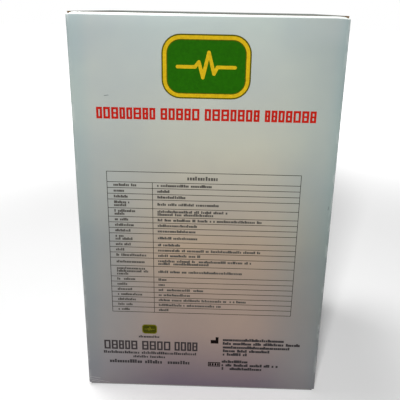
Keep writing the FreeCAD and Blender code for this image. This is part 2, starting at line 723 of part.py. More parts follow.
def foot_places():
    """The four rubber feet, as (x, y)."""
    x = HALF_MONITOR - FOOT_INSET - FOOT_RADIUS / 2
    y = FRONT_EDGE - FOOT_INSET
    return [(sx * x, sy * y) for sx in (-1, 1) for sy in (-1, 1)]


def rubber_feet():
    """Four round feet, stuck in shallow recesses."""
    feet = []
    for x, y in foot_places():
        feet.append(rod(FOOT_RADIUS, Vector(x, y, DECK_TOP), Z_AXIS, FOOT_HEIGHT + FOOT_SINK))
    return group(feet)


def screw(seat, direction, length):
    """A pan-head screw: its head behind the seat and its shank along direction."""
    head = small_rod(SCREW_HEAD_RADIUS, seat - direction * SCREW_HEAD_HEIGHT, direction, SCREW_HEAD_HEIGHT)
    return head.fuse(small_rod(SCREW_RADIUS, seat, direction, length))


def case_screws():
    """Four screws that join the shells from below."""
    screws = []
    for x, y in case_boss_places():
        seat = CASE_FLOOR + SCREW_SINK
        screws.append(screw(Vector(x, y, seat), Z_AXIS, CASE_SCREW_LENGTH))
    return group(screws)


# ---- Display and board ----

def lens_window():
    """The clear window, glued into the recess of the sloping face."""
    face = rounded_rectangle(LENS_WIDTH / 2 - SLIP_FIT, LENS_LENGTH / 2 - SLIP_FIT,
                             LENS_CORNER - SLIP_FIT, (0, LENS_CENTRE))
    return face_slab(face, -LENS_THICKNESS, 0)


def display_rectangle(growth):
    """The display's outline, grown on every side."""
    half_width = LENS_WIDTH / 2 - LENS_LEDGE + growth
    half_length = LENS_LENGTH / 2 - LENS_LEDGE + growth
    return rounded_rectangle(half_width, half_length, 0, (0, LENS_CENTRE))


def lcd_panel():
    """The liquid-crystal display's glass."""
    return face_slab(display_rectangle(0), DISPLAY_TOP - DISPLAY_THICKNESS, DISPLAY_TOP)


def zebra_strips(growth=0.0):
    """The two conductive rubber strips that join the display's long edges to the board."""
    strips = []
    reach = LENS_LENGTH / 2 - LENS_LEDGE - ZEBRA_WIDTH
    half_width = LENS_WIDTH / 2 - LENS_LEDGE - ZEBRA_WIDTH
    for side in (-1, 1):
        face = rounded_rectangle(half_width + growth, ZEBRA_WIDTH / 2 + growth, 0,
                                 (0, LENS_CENTRE + side * reach))
        strips.append(face_slab(face, -BOARD_DEPTH, DISPLAY_TOP - DISPLAY_THICKNESS))
    return group(strips)


def lcd_holder():
    """The white frame that holds the display above the board and spreads its light."""
    frame = face_slab(display_rectangle(HOLDER_WALL), -BOARD_DEPTH, DISPLAY_TOP)
    pocket = face_slab(display_rectangle(SLIP_FIT), DISPLAY_TOP - DISPLAY_THICKNESS, DISPLAY_TOP + 1)
    return frame.cut(pocket).cut(zebra_strips(SLIP_FIT))


def main_board():
    """The circuit board under the sloping face, stepped back where the pump stands."""
    half = HALF_MONITOR - PCB_SIDE_MARGIN
    notch = -PUMP_X + PUMP_RADIUS + PCB_PUMP_GAP
    pump_end = (FRONT_EDGE - PUMP_FRONT - MOTOR_LENGTH) / math.cos(FACE_ANGLE)
    step = pump_end - PCB_PUMP_GAP - BOARD_DEPTH / 2
    top = FACE_LENGTH - PCB_END_MARGIN
    face = outline([
        (-half, PCB_END_MARGIN, 0),
        (half, PCB_END_MARGIN, 0),
        (half, top, 0),
        (notch, top, 0),
        (notch, step, 0),
        (-half, step, 0),
    ])
    board = face_slab(face, BOARD_UNDERSIDE, -BOARD_DEPTH)
    holes = []
    for place in board_pillar_places():
        hole = face_disc(SCREW_RADIUS + SLIP_FIT, place)
        holes.append(face_slab(hole, -2 * BOARD_DEPTH, 0))
    return board.cut(holes)


def board_screws():
    """The screws that hold the board to its pillars."""
    screws = []
    for across, along in board_pillar_places():
        seat = FACE_FRAME.multVec(Vector(across, along, BOARD_UNDERSIDE))
        screws.append(screw(seat, FACE_NORMAL, BOARD_SCREW_LENGTH))
    return group(screws)


# ---- Buttons ----

def button(place, half_width, half_length):
    """A moulded button: crowned cap, retaining flange and a stem that meets its switch."""
    cap = face_slab(button_face(place, half_width, half_length, 0), FLANGE_TOP - FLANGE_THICKNESS,
                    BUTTON_PROUD)
    crown_height = FACE_FRAME.multVec(Vector(place, BUTTON_ROW, BUTTON_PROUD))
    crown = [edge for edge in cap.Edges
             if abs((edge.CenterOfMass - crown_height).dot(FACE_NORMAL)) < 0.01]
    cap = cap.makeChamfer(BUTTON_PROUD / 2, crown)
    flange = face_slab(button_face(place, half_width, half_length, BUTTON_FLANGE),
                       FLANGE_TOP - FLANGE_THICKNESS, FLANGE_TOP)
    stem_face = face_disc(PLUNGER_RADIUS * 1.5, (place, BUTTON_ROW))
    stem = face_slab(stem_face, PLUNGER_TOP, FLANGE_TOP)
    return cap.fuse([flange, stem]).removeSplitter()


def plunger(place):
    """A tact switch's plunger, which its button rests on."""
    face = face_disc(PLUNGER_RADIUS, (place, BUTTON_ROW))
    return face_slab(face, SWITCH_TOP - PLUNGER_PROUD, PLUNGER_TOP)


def switch_bodies():
    """The tact switches on the board, each bored for its plunger."""
    bodies = []
    for _, place, _, _ in button_specs():
        body = face_slab(rounded_rectangle(SWITCH_SIZE / 2, SWITCH_SIZE / 2, 0, (place, BUTTON_ROW)),
                         -BOARD_DEPTH, SWITCH_TOP)
        bore = face_disc(PLUNGER_RADIUS + RUNNING_GAP, (place, BUTTON_ROW))
        depth = PLUNGER_PROUD + BUTTON_TRAVEL + RUNNING_GAP
        bodies.append(body.cut(face_slab(bore, SWITCH_TOP - depth, 0)))
    return group(bodies)


def buzzer():
    """The round buzzer under the board."""
    face = face_disc(BUZZER_RADIUS, (0, BUTTON_ROW))
    return face_slab(face, BOARD_UNDERSIDE - BUZZER_HEIGHT, BOARD_UNDERSIDE)


# ---- Batteries ----

def cell_places():
    """The x of each cell's axis."""
    return [(index - (CELL_COUNT - 1) / 2) * CELL_PITCH for index in range(CELL_COUNT)]


def aa_cells():
    """The dry cells, laid side by side and turned about."""
    cells = []
    for index, x in enumerate(cell_places()):
        turned = index % 2 == 1
        rear = BAY_REAR + CONTACT_THICKNESS
        front = BAY_FRONT - CONTACT_THICKNESS
        start = Vector(x, front if turned else rear, CELL_AXIS)
        direction = Y_AXIS * (-1 if turned else 1)
        cap = small_rod(CELL_CAP_RADIUS, start, direction, CELL_CAP_LENGTH)
        can = rod(CELL_RADIUS, start + direction * CELL_CAP_LENGTH, direction,
                  CELL_LENGTH - CELL_CAP_LENGTH)
        cells.append(can.fuse(cap))
    return group(cells)


def battery_springs():
    """The closely wound springs at the cells' flat ends."""
    springs = []
    for index, x in enumerate(cell_places()):
        turned = index % 2 == 1
        start_y = BAY_REAR + CONTACT_THICKNESS if turned else BAY_FRONT - CONTACT_THICKNESS
        direction = Y_AXIS * (1 if turned else -1)
        start = Vector(x, start_y, CELL_AXIS)
        coil = small_rod(SPRING_RADIUS, start, direction, SPRING_LENGTH)
        springs.append(coil.cut(small_rod(SPRING_RADIUS - SPRING_WIRE, start, direction, SPRING_LENGTH)))
    return group(springs)


def contact_plates():
    """The sheet-metal contacts at both ends of the bay, which join the cells in a row."""
    plates = []
    half = CELL_PITCH / 2 - CELL_GAP
    places = cell_places()
    front_groups = [(places[0], places[1]), (places[2], places[3])]
    rear_groups = [(places[0], places[0]), (places[1], places[2]), (places[3], places[3])]
    heights = (CELL_AXIS - CELL_RADIUS * 0.7, CELL_AXIS + CELL_RADIUS * 0.7)
    for low, high in front_groups:
        plates.append(block((low - half, high + half), (BAY_FRONT - CONTACT_THICKNESS, BAY_FRONT), heights))
    for low, high in rear_groups:
        plates.append(block((low - half, high + half), (BAY_REAR, BAY_REAR + CONTACT_THICKNESS), heights))
    return group(plates)


def battery_cover():
    """The bay's cover: rounded where it turns, with a springy latch tongue at its free edge."""
    rear_round = rod(COVER_THICKNESS / 2, COVER_AXIS - X_AXIS * COVER_HALF_WIDTH, X_AXIS,
                     2 * COVER_HALF_WIDTH)
    middle = (COVER_AXIS.y + COVER_FRONT) / 2
    plate = upright(rounded_rectangle(COVER_HALF_WIDTH, (COVER_FRONT - COVER_AXIS.y) / 2, 0, (0, middle)),
                    CASE_FLOOR, COVER_TOP)
    cover = plate.fuse(rear_round).removeSplitter()
    slits = []
    for side in (-1, 1):
        x = side * (LATCH_WIDTH + LATCH_SLIT) / 2
        slits.append(block((x - LATCH_SLIT / 2, x + LATCH_SLIT / 2),
                           (COVER_FRONT - LATCH_LENGTH, COVER_FRONT + 1), (CASE_FLOOR - 1, COVER_TOP + 1)))
    thumb_axis = CASE_FLOOR - THUMB_RADIUS + COVER_THICKNESS / 2
    thumb = rod(THUMB_RADIUS, Vector(-LATCH_WIDTH / 2, COVER_FRONT - LATCH_LENGTH / 2, thumb_axis),
                X_AXIS, LATCH_WIDTH)
    return cover.cut(slits + [thumb])


# ---- Air system ----

def pump_motor():
    """The pump's electric motor, with its rear bearing boss."""
    start = Vector(PUMP_X, PUMP_FRONT, PUMP_Z)
    can = rod(PUMP_RADIUS, start, Y_AXIS, MOTOR_LENGTH)
    rims = [edge for edge in can.Edges if edge.CenterOfMass.y > PUMP_FRONT + MOTOR_LENGTH - 0.1]
    can = can.makeChamfer(1.5, rims)
    return can.fuse(rod(3, start + Y_AXIS * MOTOR_LENGTH, Y_AXIS, 1.5))


def pump_head():
    """The diaphragm head, with its outlet nozzle toward the middle."""
    half = PUMP_HALF_HEAD
    plan = rounded_rectangle(half, half, 4, (PUMP_X, PUMP_Z))
    head = slab(plan, frame_at(Vector(0, PUMP_FRONT, 0), X_AXIS, Z_AXIS), 0, PUMP_HEAD_LENGTH)
    nozzle = rod(NOZZLE_RADIUS, Vector(PUMP_X, AIR_LINE_Y, NOZZLE_Z), X_AXIS * -1, half + NOZZLE_LENGTH)
    return head.fuse(nozzle)


def pump_cushion():
    """The foam cradle between the pump's motor and the lower shell."""
    half = PUMP_RADIUS - CRADLE_INSET
    cradle = block((PUMP_X - half, PUMP_X + half),
                   (PUMP_FRONT + CRADLE_INSET, PUMP_FRONT + MOTOR_LENGTH - CRADLE_INSET),
                   (INNER_FLOOR, PUMP_Z))
    seat = rod(PUMP_RADIUS + RUNNING_GAP, Vector(PUMP_X, PUMP_REAR, PUMP_Z), Y_AXIS, MONITOR_DEPTH)
    return cradle.cut(seat)


def tube(start, direction, length):
    """A straight length of soft air tube over a nozzle."""
    outside = rod(TUBE_RADIUS, start, direction, length)
    return outside.cut(rod(NOZZLE_RADIUS, start, direction, length))


def air_manifold():
    """The block that joins pump, valve, sensor and hose socket."""
    body = block((MANIFOLD_LEFT, MANIFOLD_RIGHT), (MANIFOLD_REAR, MANIFOLD_FRONT),
                 (NOZZLE_Z + TUBE_RADIUS - MANIFOLD_HEIGHT, NOZZLE_Z + TUBE_RADIUS))
    body = body.makeFillet(MANIFOLD_CORNER, [edge for edge in body.Edges if abs(edge.tangentAt(0).z) > 0.9])
    nozzles = [
        rod(NOZZLE_RADIUS, Vector(MANIFOLD_RIGHT - 1, AIR_LINE_Y, NOZZLE_Z), X_AXIS, NOZZLE_LENGTH + 1),
        rod(NOZZLE_RADIUS, Vector(SENSOR_X, MANIFOLD_FRONT - 1, SENSOR_CENTRE.z), Y_AXIS, NOZZLE_LENGTH + 1),
    ]
    return body.fuse(nozzles)


def pressure_sensor():
    """The pressure sensor under the board, with its nozzle toward the manifold."""
    body = face_slab(rounded_rectangle(SENSOR_SIZE / 2, SENSOR_SIZE / 2, 0, (-SENSOR_X, SENSOR_PLACE)),
                     BOARD_UNDERSIDE - SENSOR_HEIGHT, BOARD_UNDERSIDE)
    reach = SENSOR_SIZE / 2 + NOZZLE_LENGTH
    nozzle = rod(NOZZLE_RADIUS, SENSOR_CENTRE - Y_AXIS * reach, Y_AXIS, reach)
    return body.fuse(nozzle)


def pump_air_tube():
    """The tube from the pump's nozzle to the manifold, over the battery bay."""
    start = PUMP_X - PUMP_HALF_HEAD - TUBE_END_GAP
    return tube(Vector(start, AIR_LINE_Y, NOZZLE_Z), X_AXIS * -1, start - MANIFOLD_RIGHT - TUBE_END_GAP)


def sensor_air_tube():
    """The tube from the manifold to the pressure sensor."""
    start = MANIFOLD_FRONT + TUBE_END_GAP
    end = SENSOR_CENTRE.y - SENSOR_SIZE / 2 - 4 * TUBE_END_GAP
    return tube(Vector(SENSOR_X, start, SENSOR_CENTRE.z), Y_AXIS, end - start)


def exhaust_valve():
    """The solenoid valve that lets the cuff down, seated on the manifold."""
    z = INNER_FLOOR + VALVE_RADIUS + 1.0
    coil = rod(VALVE_RADIUS, Vector(VALVE_X, MANIFOLD_FRONT, z), Y_AXIS, VALVE_LENGTH)
    return coil.fuse(rod(VALVE_RADIUS / 2, Vector(VALVE_X, MANIFOLD_FRONT + VALVE_LENGTH, z), Y_AXIS, 2))


def air_socket():
    """The hose socket in the monitor's left wall."""
    start = Vector(-HALF_MONITOR, AIR_LINE_Y, SOCKET_Z)
    body = rod(SOCKET_RADIUS, start, X_AXIS, MANIFOLD_LEFT + HALF_MONITOR)
    bore = rod(SOCKET_BORE, start, X_AXIS, MANIFOLD_LEFT + HALF_MONITOR - 1.0)
    return body.cut(bore)


# ---- Cuff ----

def cuff_wrap():
    """The rolled wrap: a flattened roll with an open core, a bladder pocket and a ring sleeve."""
    centre = ((CUFF_LEFT + CUFF_RIGHT) / 2, CUFF_MIDDLE)
    half = CUFF_THICKNESS / 2
    roll = upright(rounded_rectangle((CUFF_RIGHT - CUFF_LEFT) / 2, half, half, centre),
                   CUFF_BOTTOM, CUFF_TOP)
    core = upright(rounded_rectangle(CUFF_CORE_LENGTH / 2, CUFF_CORE / 2, CUFF_CORE / 2, centre),
                   CUFF_BOTTOM - 1, CUFF_TOP + 1)
    pocket = block(
        (centre[0] - BLADDER_LENGTH / 2 - SOFT_GAP, centre[0] + BLADDER_LENGTH / 2 + SOFT_GAP),
        (BLADDER_BACK - SOFT_GAP, BLADDER_BACK + BLADDER_THICKNESS + SOFT_GAP),
        (BLADDER_BOTTOM - SOFT_GAP, BLADDER_BOTTOM + BLADDER_HEIGHT + SOFT_GAP))
    port_hole = rod(PORT_RADIUS + SOFT_GAP, Vector(centre[0], CUFF_FACE - 1, PORT_LEVEL), Y_AXIS,
                    BLADDER_BACK - CUFF_FACE + 2)
    sleeve_start = Vector(RING_X, CUFF_MIDDLE, SLEEVE_BOTTOM)
    sleeve = rod(SLEEVE_RADIUS, sleeve_start, Z_AXIS, SLEEVE_LENGTH)
    web = block((CUFF_RIGHT - 3, RING_X), (CUFF_MIDDLE - SLEEVE_WALL, CUFF_MIDDLE + SLEEVE_WALL),
                (SLEEVE_BOTTOM, SLEEVE_BOTTOM + SLEEVE_LENGTH))
    bar_bore = rod(RING_WIRE + SOFT_GAP, Vector(RING_X, CUFF_MIDDLE, 0), Z_AXIS, CARTON_HEIGHT)
    return roll.fuse([web, sleeve]).cut([core, pocket, port_hole, bar_bore])


def cuff_bladder():
    """The flat air bladder inside the wrap's outer layer."""
    centre = (CUFF_LEFT + CUFF_RIGHT) / 2
    face = rounded_rectangle(BLADDER_LENGTH / 2, BLADDER_HEIGHT / 2, 8,
                             (centre, BLADDER_BOTTOM + BLADDER_HEIGHT / 2))
    return slab(face, frame_at(Vector(0, BLADDER_BACK + BLADDER_THICKNESS, 0), X_AXIS, Z_AXIS),
                0, BLADDER_THICKNESS)


def cuff_port():
    """The hose port, bonded to the bladder and standing out of the wrap."""
    centre = (CUFF_LEFT + CUFF_RIGHT) / 2
    start = Vector(centre, BLADDER_BACK, PORT_LEVEL)
    reach = BLADDER_BACK - CUFF_FACE
    port = rod(PORT_RADIUS, start, Y_AXIS * -1, reach + PORT_LENGTH)
    return port.cut(rod(PORT_RADIUS / 2, start, Y_AXIS * -1, reach + PORT_LENGTH + 1))


def d_ring():
    """The cuff's metal ring: a long flat-sided loop with its rear bar in the sleeve."""
    middle = SLEEVE_BOTTOM + SLEEVE_LENGTH / 2
    placement = frame_at(Vector(RING_X, CUFF_MIDDLE - RING_DEPTH / 2, middle), Y_AXIS, Z_AXIS)
    outside = rounded_rectangle(RING_DEPTH / 2 + RING_WIRE, RING_LENGTH / 2 + RING_WIRE, RING_CORNER)
    inside = rounded_rectangle(RING_DEPTH / 2 - RING_WIRE, RING_LENGTH / 2 - RING_WIRE,
                               RING_CORNER - 2 * RING_WIRE)
    return slab(outside.cut(inside), placement, -RING_WIRE / 2, RING_WIRE / 2)


def hook_patch():
    """The hook-fastener patch on the outside of the roll, above the hose port."""
    centre = (CUFF_LEFT + CUFF_RIGHT) / 2
    low = PORT_LEVEL + PORT_RADIUS + PATCH_MARGIN
    high = CUFF_TOP - PATCH_MARGIN
    face = rounded_rectangle(PATCH_WIDTH / 2, (high - low) / 2, 3, (centre, (high + low) / 2))
    return slab(face, frame_at(Vector(0, CUFF_FACE, 0), X_AXIS, Z_AXIS), 0, PATCH_THICKNESS)


# ---- Papers ----

def user_manual():
    """The stapled booklet, standing against the back panel."""
    book = block((-MANUAL_WIDTH / 2, MANUAL_WIDTH / 2), (PAPER_BACK, PAPER_BACK + MANUAL_THICKNESS),
                 (FLOOR_TOP, FLOOR_TOP + MANUAL_HEIGHT))
    spine = [edge for edge in book.Edges
             if abs(edge.CenterOfMass.x + MANUAL_WIDTH / 2) < 0.01 and abs(edge.tangentAt(0).z) > 0.9]
    return book.makeFillet(MANUAL_THICKNESS / 2 - 0.05, spine)


def warranty_card():
    """The single card in front of the booklet."""
    low = PAPER_BACK + MANUAL_THICKNESS + LAYER_GAP
    return block((-CARD_WIDTH / 2, CARD_WIDTH / 2), (low, low + CARD_THICKNESS),
                 (FLOOR_TOP, FLOOR_TOP + CARD_HEIGHT))


def nodes():
    """Every sub-part's name and solid."""
    parts = {
        "back_panel": back_panel(),
        "front_panel": front_panel(),
        "left_side_panel": side_panel(-1),
        "right_side_panel": side_panel(1),
        "glue_flap": glue_flap(),
        "top_lid": top_lid(),
        "tuck_flap": tuck_flap(),
        "left_dust_flap": dust_flap(-1),
        "right_dust_flap": dust_flap(1),
        "outer_base_flap": outer_base_flap(),
        "inner_base_flap": inner_base_flap(),
        "left_base_flap": base_dust_flap(-1),
        "right_base_flap": base_dust_flap(1),
        "inner_platform": inner_platform(),
        "top_case": top_case(),
        "bottom_case": bottom_case(),
        "rubber_feet": rubber_feet(),
        "case_screws": case_screws(),
        "lens_window": lens_window(),
        "lcd_panel": lcd_panel(),
        "lcd_holder": lcd_holder(),
        "zebra_strips": zebra_strips(),
        "main_board": main_board(),
        "board_screws": board_screws(),
        "switch_bodies": switch_bodies(),
        "buzzer": buzzer(),
        "aa_cells": aa_cells(),
        "battery_springs": battery_springs(),
        "contact_plates": contact_plates(),
        "battery_cover": battery_cover(),
        "pump_motor": pump_motor(),
        "pump_head": pump_head(),
        "pump_cushion": pump_cushion(),
        "pump_air_tube": pump_air_tube(),
        "air_manifold": air_manifold(),
        "exhaust_valve": exhaust_valve(),
        "pressure_sensor": pressure_sensor(),
        "sensor_air_tube": sensor_air_tube(),
        "air_socket": air_socket(),
        "cuff_wrap": cuff_wrap(),
        "cuff_bladder": cuff_bladder(),
        "cuff_port": cuff_port(),
        "d_ring": d_ring(),
        "hook_patch": hook_patch(),
        "user_manual": user_manual(),
        "warranty_card": warranty_card(),
    }
    for name, place, half_width, half_length in button_specs():
        parts[name + "_button"] = button(place, half_width, half_length)
        parts[name + "_plunger"] = plunger(place)
    return parts


os.makedirs("parts", exist_ok=True)
for node, shape in nodes().items():
    shape.exportStep("parts/" + node + ".step")
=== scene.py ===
"""A boxed arm blood pressure monitor: the printed carton, its platform, the monitor and the cuff.

Metres, in the CAD's frame: +Z up, the spec panel toward -Y. Sizes are written in millimetres and
placed by a frame of their own. New pieces are surfaces worked out with numpy, and every finish is
a node material on Object coordinates.
"""
import math

import bmesh
import bpy
import numpy as np
from mathutils import Matrix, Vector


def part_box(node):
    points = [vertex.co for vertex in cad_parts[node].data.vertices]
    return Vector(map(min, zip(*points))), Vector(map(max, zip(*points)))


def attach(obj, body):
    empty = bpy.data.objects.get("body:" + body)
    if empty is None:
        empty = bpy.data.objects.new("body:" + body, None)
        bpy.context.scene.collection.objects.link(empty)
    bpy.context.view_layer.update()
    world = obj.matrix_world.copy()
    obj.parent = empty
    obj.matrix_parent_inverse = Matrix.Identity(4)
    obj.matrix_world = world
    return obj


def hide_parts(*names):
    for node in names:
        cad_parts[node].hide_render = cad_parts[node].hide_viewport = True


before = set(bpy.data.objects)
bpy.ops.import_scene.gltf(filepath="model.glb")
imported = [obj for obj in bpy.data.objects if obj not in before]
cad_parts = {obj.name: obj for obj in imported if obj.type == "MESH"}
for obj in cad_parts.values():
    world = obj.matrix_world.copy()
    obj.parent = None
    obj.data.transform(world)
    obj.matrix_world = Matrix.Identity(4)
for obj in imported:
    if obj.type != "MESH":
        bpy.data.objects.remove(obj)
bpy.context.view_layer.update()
MM = 0.001

# ---- The carton, in millimetres ----
BOARD = 1.5
CARTON_TOP = 213.0
PANEL_LEFT = -67.5
PANEL_RIGHT = 67.5
PANEL_INSIDE = -53.5
PANEL_SKIN = 1.44
LID_CREASE = 211.5
SIDE_INSIDE = 66.0
SIDE_FOOT = 4.5
SIDE_CREASE = 209.9
LEFT_FOLD = 0.8
RIGHT_FOLD = 0.5
CAP_RISE = 1.3
CAP_LEFT = -66.0
CAP_RIGHT = 64.5
CAP_ROUND = 0.8
# How far a face turns toward the print's side before the print begins, and where it is whole.
FACING_STEP = (0.45, 0.6)
# How high a printed mark stands on its ground, and how deep in it.
INK = 0.03
SINK = 0.02

# ---- The monitor's sloping face ----
SLOPE_RUN = 89.5
SLOPE_RISE = 28.5
FACE_LENGTH = math.hypot(SLOPE_RUN, SLOPE_RISE)
FACE_ORIGIN = (0.0, 51.75, 178.0)
UP_SLOPE = (0.0, -SLOPE_RUN / FACE_LENGTH, SLOPE_RISE / FACE_LENGTH)
FACE_RIM = 6.0
WINDOW_HEIGHT = 54.0
LENS_MIDDLE = FACE_LENGTH - FACE_RIM - WINDOW_HEIGHT / 2
BUTTON_ROW = (FACE_LENGTH - FACE_RIM - WINDOW_HEIGHT) / 2
BUTTON_TOP = 1.3
DISPLAY_TOP = -2.9


# ---- Frames and meshes ----

def axes(origin, x_axis, y_axis):
    """A frame in millimetres: its origin, and its X, Y and Z axes as rows."""
    x_row = np.array(x_axis, float)
    y_row = np.array(y_axis, float)
    return np.array(origin, float), np.array([x_row, y_row, np.cross(x_row, y_row)])


PRINT = axes((0, PANEL_INSIDE - PANEL_SKIN, 0), (1, 0, 0), (0, 0, 1))
FACE = axes(FACE_ORIGIN, (-1, 0, 0), UP_SLOPE)
WORLD = axes((0, 0, 0), (1, 0, 0), (0, 1, 0))


def mesh_object(name, points, faces, finish):
    """A mesh in the scene, its points in metres."""
    mesh = bpy.data.meshes.new(name)
    mesh.from_pydata(points, [], faces)
    mesh.update()
    mesh.materials.append(finish)
    made = bpy.data.objects.new(name, mesh)
    bpy.context.scene.collection.objects.link(made)
    return made


def piece(name, points, faces, finish, body, slot, place=WORLD, smooth=False):
    """A mesh piece: local points in millimetres, p, put at origin + p times the frame's axes."""
    origin, rows = place
    world = (origin + np.asarray(points, float) @ rows) * MM
    made = mesh_object(name, world.tolist(), [list(face) for face in faces], finish)
    made.data.polygons.foreach_set("use_smooth", np.full(len(faces), smooth))
    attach(made, body)
    return made


def grid_faces(rows, columns, wrap_rows=False, wrap_columns=False):
    """The quads of a rows by columns grid of points, closed round where it wraps."""
    index = np.arange(rows * columns).reshape(rows, columns)
    if wrap_rows:
        index = np.vstack([index, index[:1]])
    if wrap_columns:
        index = np.hstack([index, index[:, :1]])
    corners = [index[:-1, :-1], index[:-1, 1:], index[1:, 1:], index[1:, :-1]]
    return np.stack([corner.ravel() for corner in corners], 1)


def rectangles(areas, height):
    """Flat closed blocks over rows of (left, low, right, high), from -SINK up to height.

    Each point is low + unit corner * (high - low).
    """
    areas = np.vstack(areas)
    low, high = at_height(areas[:, :2], -SINK), at_height(areas[:, 2:], height)
    unit = np.array([[x, y, z] for z in (0, 1) for x, y in ((0, 0), (1, 0), (1, 1), (0, 1))])
    sides = np.array([[0, 3, 2, 1], [4, 5, 6, 7], [0, 1, 5, 4], [1, 2, 6, 5], [2, 3, 7, 6], [3, 0, 4, 7]])
    points = low[:, None] + unit * (high - low)[:, None]
    faces = sides + 8 * np.arange(len(low))[:, None, None]
    return points.reshape(-1, 3), faces.reshape(-1, 4)


def rounded_outline(half_width, half_height, radius, centre):
    """A rounded rectangle's points: each corner's centre plus radius times (cos t, sin t)."""
    sweep = np.linspace(0, math.pi / 2, 10)
    corners = []
    for quarter, (x, y) in enumerate(((1, 1), (-1, 1), (-1, -1), (1, -1))):
        angle = sweep + quarter * math.pi / 2
        middle = np.array([x * (half_width - radius), y * (half_height - radius)])
        corners.append(middle + radius * np.stack([np.cos(angle), np.sin(angle)], 1))
    return np.concatenate(corners) + centre


def arc_outline(radius, centre, start=0.0, end=2 * math.pi, count=40):
    """Points of an arc: centre + radius (cos t, sin t), with t from start to end."""
    angle = np.linspace(start, end, count, endpoint=end - start < 2 * math.pi)
    return np.array(centre) + radius * np.stack([np.cos(angle), np.sin(angle)], 1)


def at_height(outline, height):
    """An outline's points lifted to one height."""
    return np.column_stack([outline, np.full(len(outline), height)])


def grid_points(x, y, z):
    """Rows by columns of points, from coordinates stretched over one grid."""
    return np.stack(np.broadcast_arrays(x, y, z), -1)


def carried(points):
    """A closed section carried along a path, as rows of points, with both its ends capped."""
    rows, columns = points.shape[:2]
    faces = grid_faces(rows, columns, wrap_columns=True).tolist()
    faces += [list(range(columns))[::-1], list(range((rows - 1) * columns, rows * columns))]
    return points.reshape(-1, 3), faces


def plate_mesh(outline, height, sink):
    """A flat closed plate: the outline at -sink and at height, with its wall between."""
    return carried(np.stack([at_height(outline, -sink), at_height(outline, height)]))


def ring_mesh(inner, outer, height, closed=True):
    """A flat closed band between two outlines of equally many points."""
    loops = [at_height(edge, level) for edge, level in (
        (outer, -SINK), (outer, height), (inner, height), (inner, -SINK))]
    count = len(inner)
    faces = grid_faces(4, count, wrap_rows=True, wrap_columns=closed).tolist()
    if not closed:
        ends = np.arange(4) * count
        faces += [ends.tolist(), (ends[::-1] + count - 1).tolist()]
    return np.concatenate(loops), faces


def joined(meshes):
    """Several (points, faces) meshes as one."""
    points, faces, start = [], [], 0
    for some_points, some_faces in meshes:
        points.append(some_points)
        faces += [[start + index for index in face] for face in some_faces]
        start += len(some_points)
    return np.concatenate(points), faces


# ---- Finishes ----

def srgb(red, green, blue):
    """Screen values of 0 to 255 as the linear colour that a shader takes."""
    value = np.array([red, green, blue]) / 255
    linear = np.where(value <= 0.04045, value / 12.92, ((value + 0.055) / 1.055) ** 2.4)
    return (*linear.tolist(), 1.0)


class Graph:
    """A node tree in the making."""

    def __init__(self, tree):
        self.tree = tree

    def feed(self, socket, value):
        """Sets a socket to a value, or links it where the value is another socket."""
        if isinstance(value, bpy.types.NodeSocket):
            self.tree.links.new(value, socket)
        else:
            socket.default_value = value

    def node(self, kind, inputs=None, **settings):
        """A node with its settings made and its inputs fed."""
        made = self.tree.nodes.new(kind)
        for name, value in settings.items():
            setattr(made, name, value)
        for name, value in (inputs or {}).items():
            self.feed(made.inputs[name], value)
        return made

    def math(self, operation, *values):
        """A number worked out from others."""
        return self.node("ShaderNodeMath", dict(enumerate(values)), operation=operation).outputs[0]

    def times(self, first, second):
        """The product of two numbers."""
        return self.math("MULTIPLY", first, second)

    def either_way(self, value):
        """A number without its sign."""
        return self.math("ABSOLUTE", value)

    def step(self, value, start, end):
        """A smooth step of value: 0 before start and 1 after end."""
        return self.node("ShaderNodeMapRange", {
            "Value": value, "From Min": start, "From Max": end, "To Min": 0.0, "To Max": 1.0,
        }, interpolation_type="SMOOTHSTEP").outputs["Result"]

    def mix(self, share, first, second, blend="MIX"):
        """Two colours mixed by share."""
        return self.node("ShaderNodeMix", {0: share, 6: first, 7: second},
                         data_type="RGBA", blend_type=blend).outputs[2]

    def shaded(self, colour, tone):
        """A colour multiplied by a tone."""
        return self.mix(1.0, colour, tone, "MULTIPLY")

    def blend_numbers(self, share, first, second):
        """Two numbers mixed by share."""
        return self.node("ShaderNodeMix", {0: share, 2: first, 3: second}, data_type="FLOAT").outputs[0]

    def ramp(self, value, stops):
        """A colour along a few stops of (position, screen values)."""
        made = self.node("ShaderNodeValToRGB", {"Fac": value})
        elements = made.color_ramp.elements
        while len(elements) < len(stops):
            elements.new(1.0)
        for element, (position, colour) in zip(elements, stops):
            element.position = position
            element.color = srgb(*colour)
        return made.outputs["Color"]


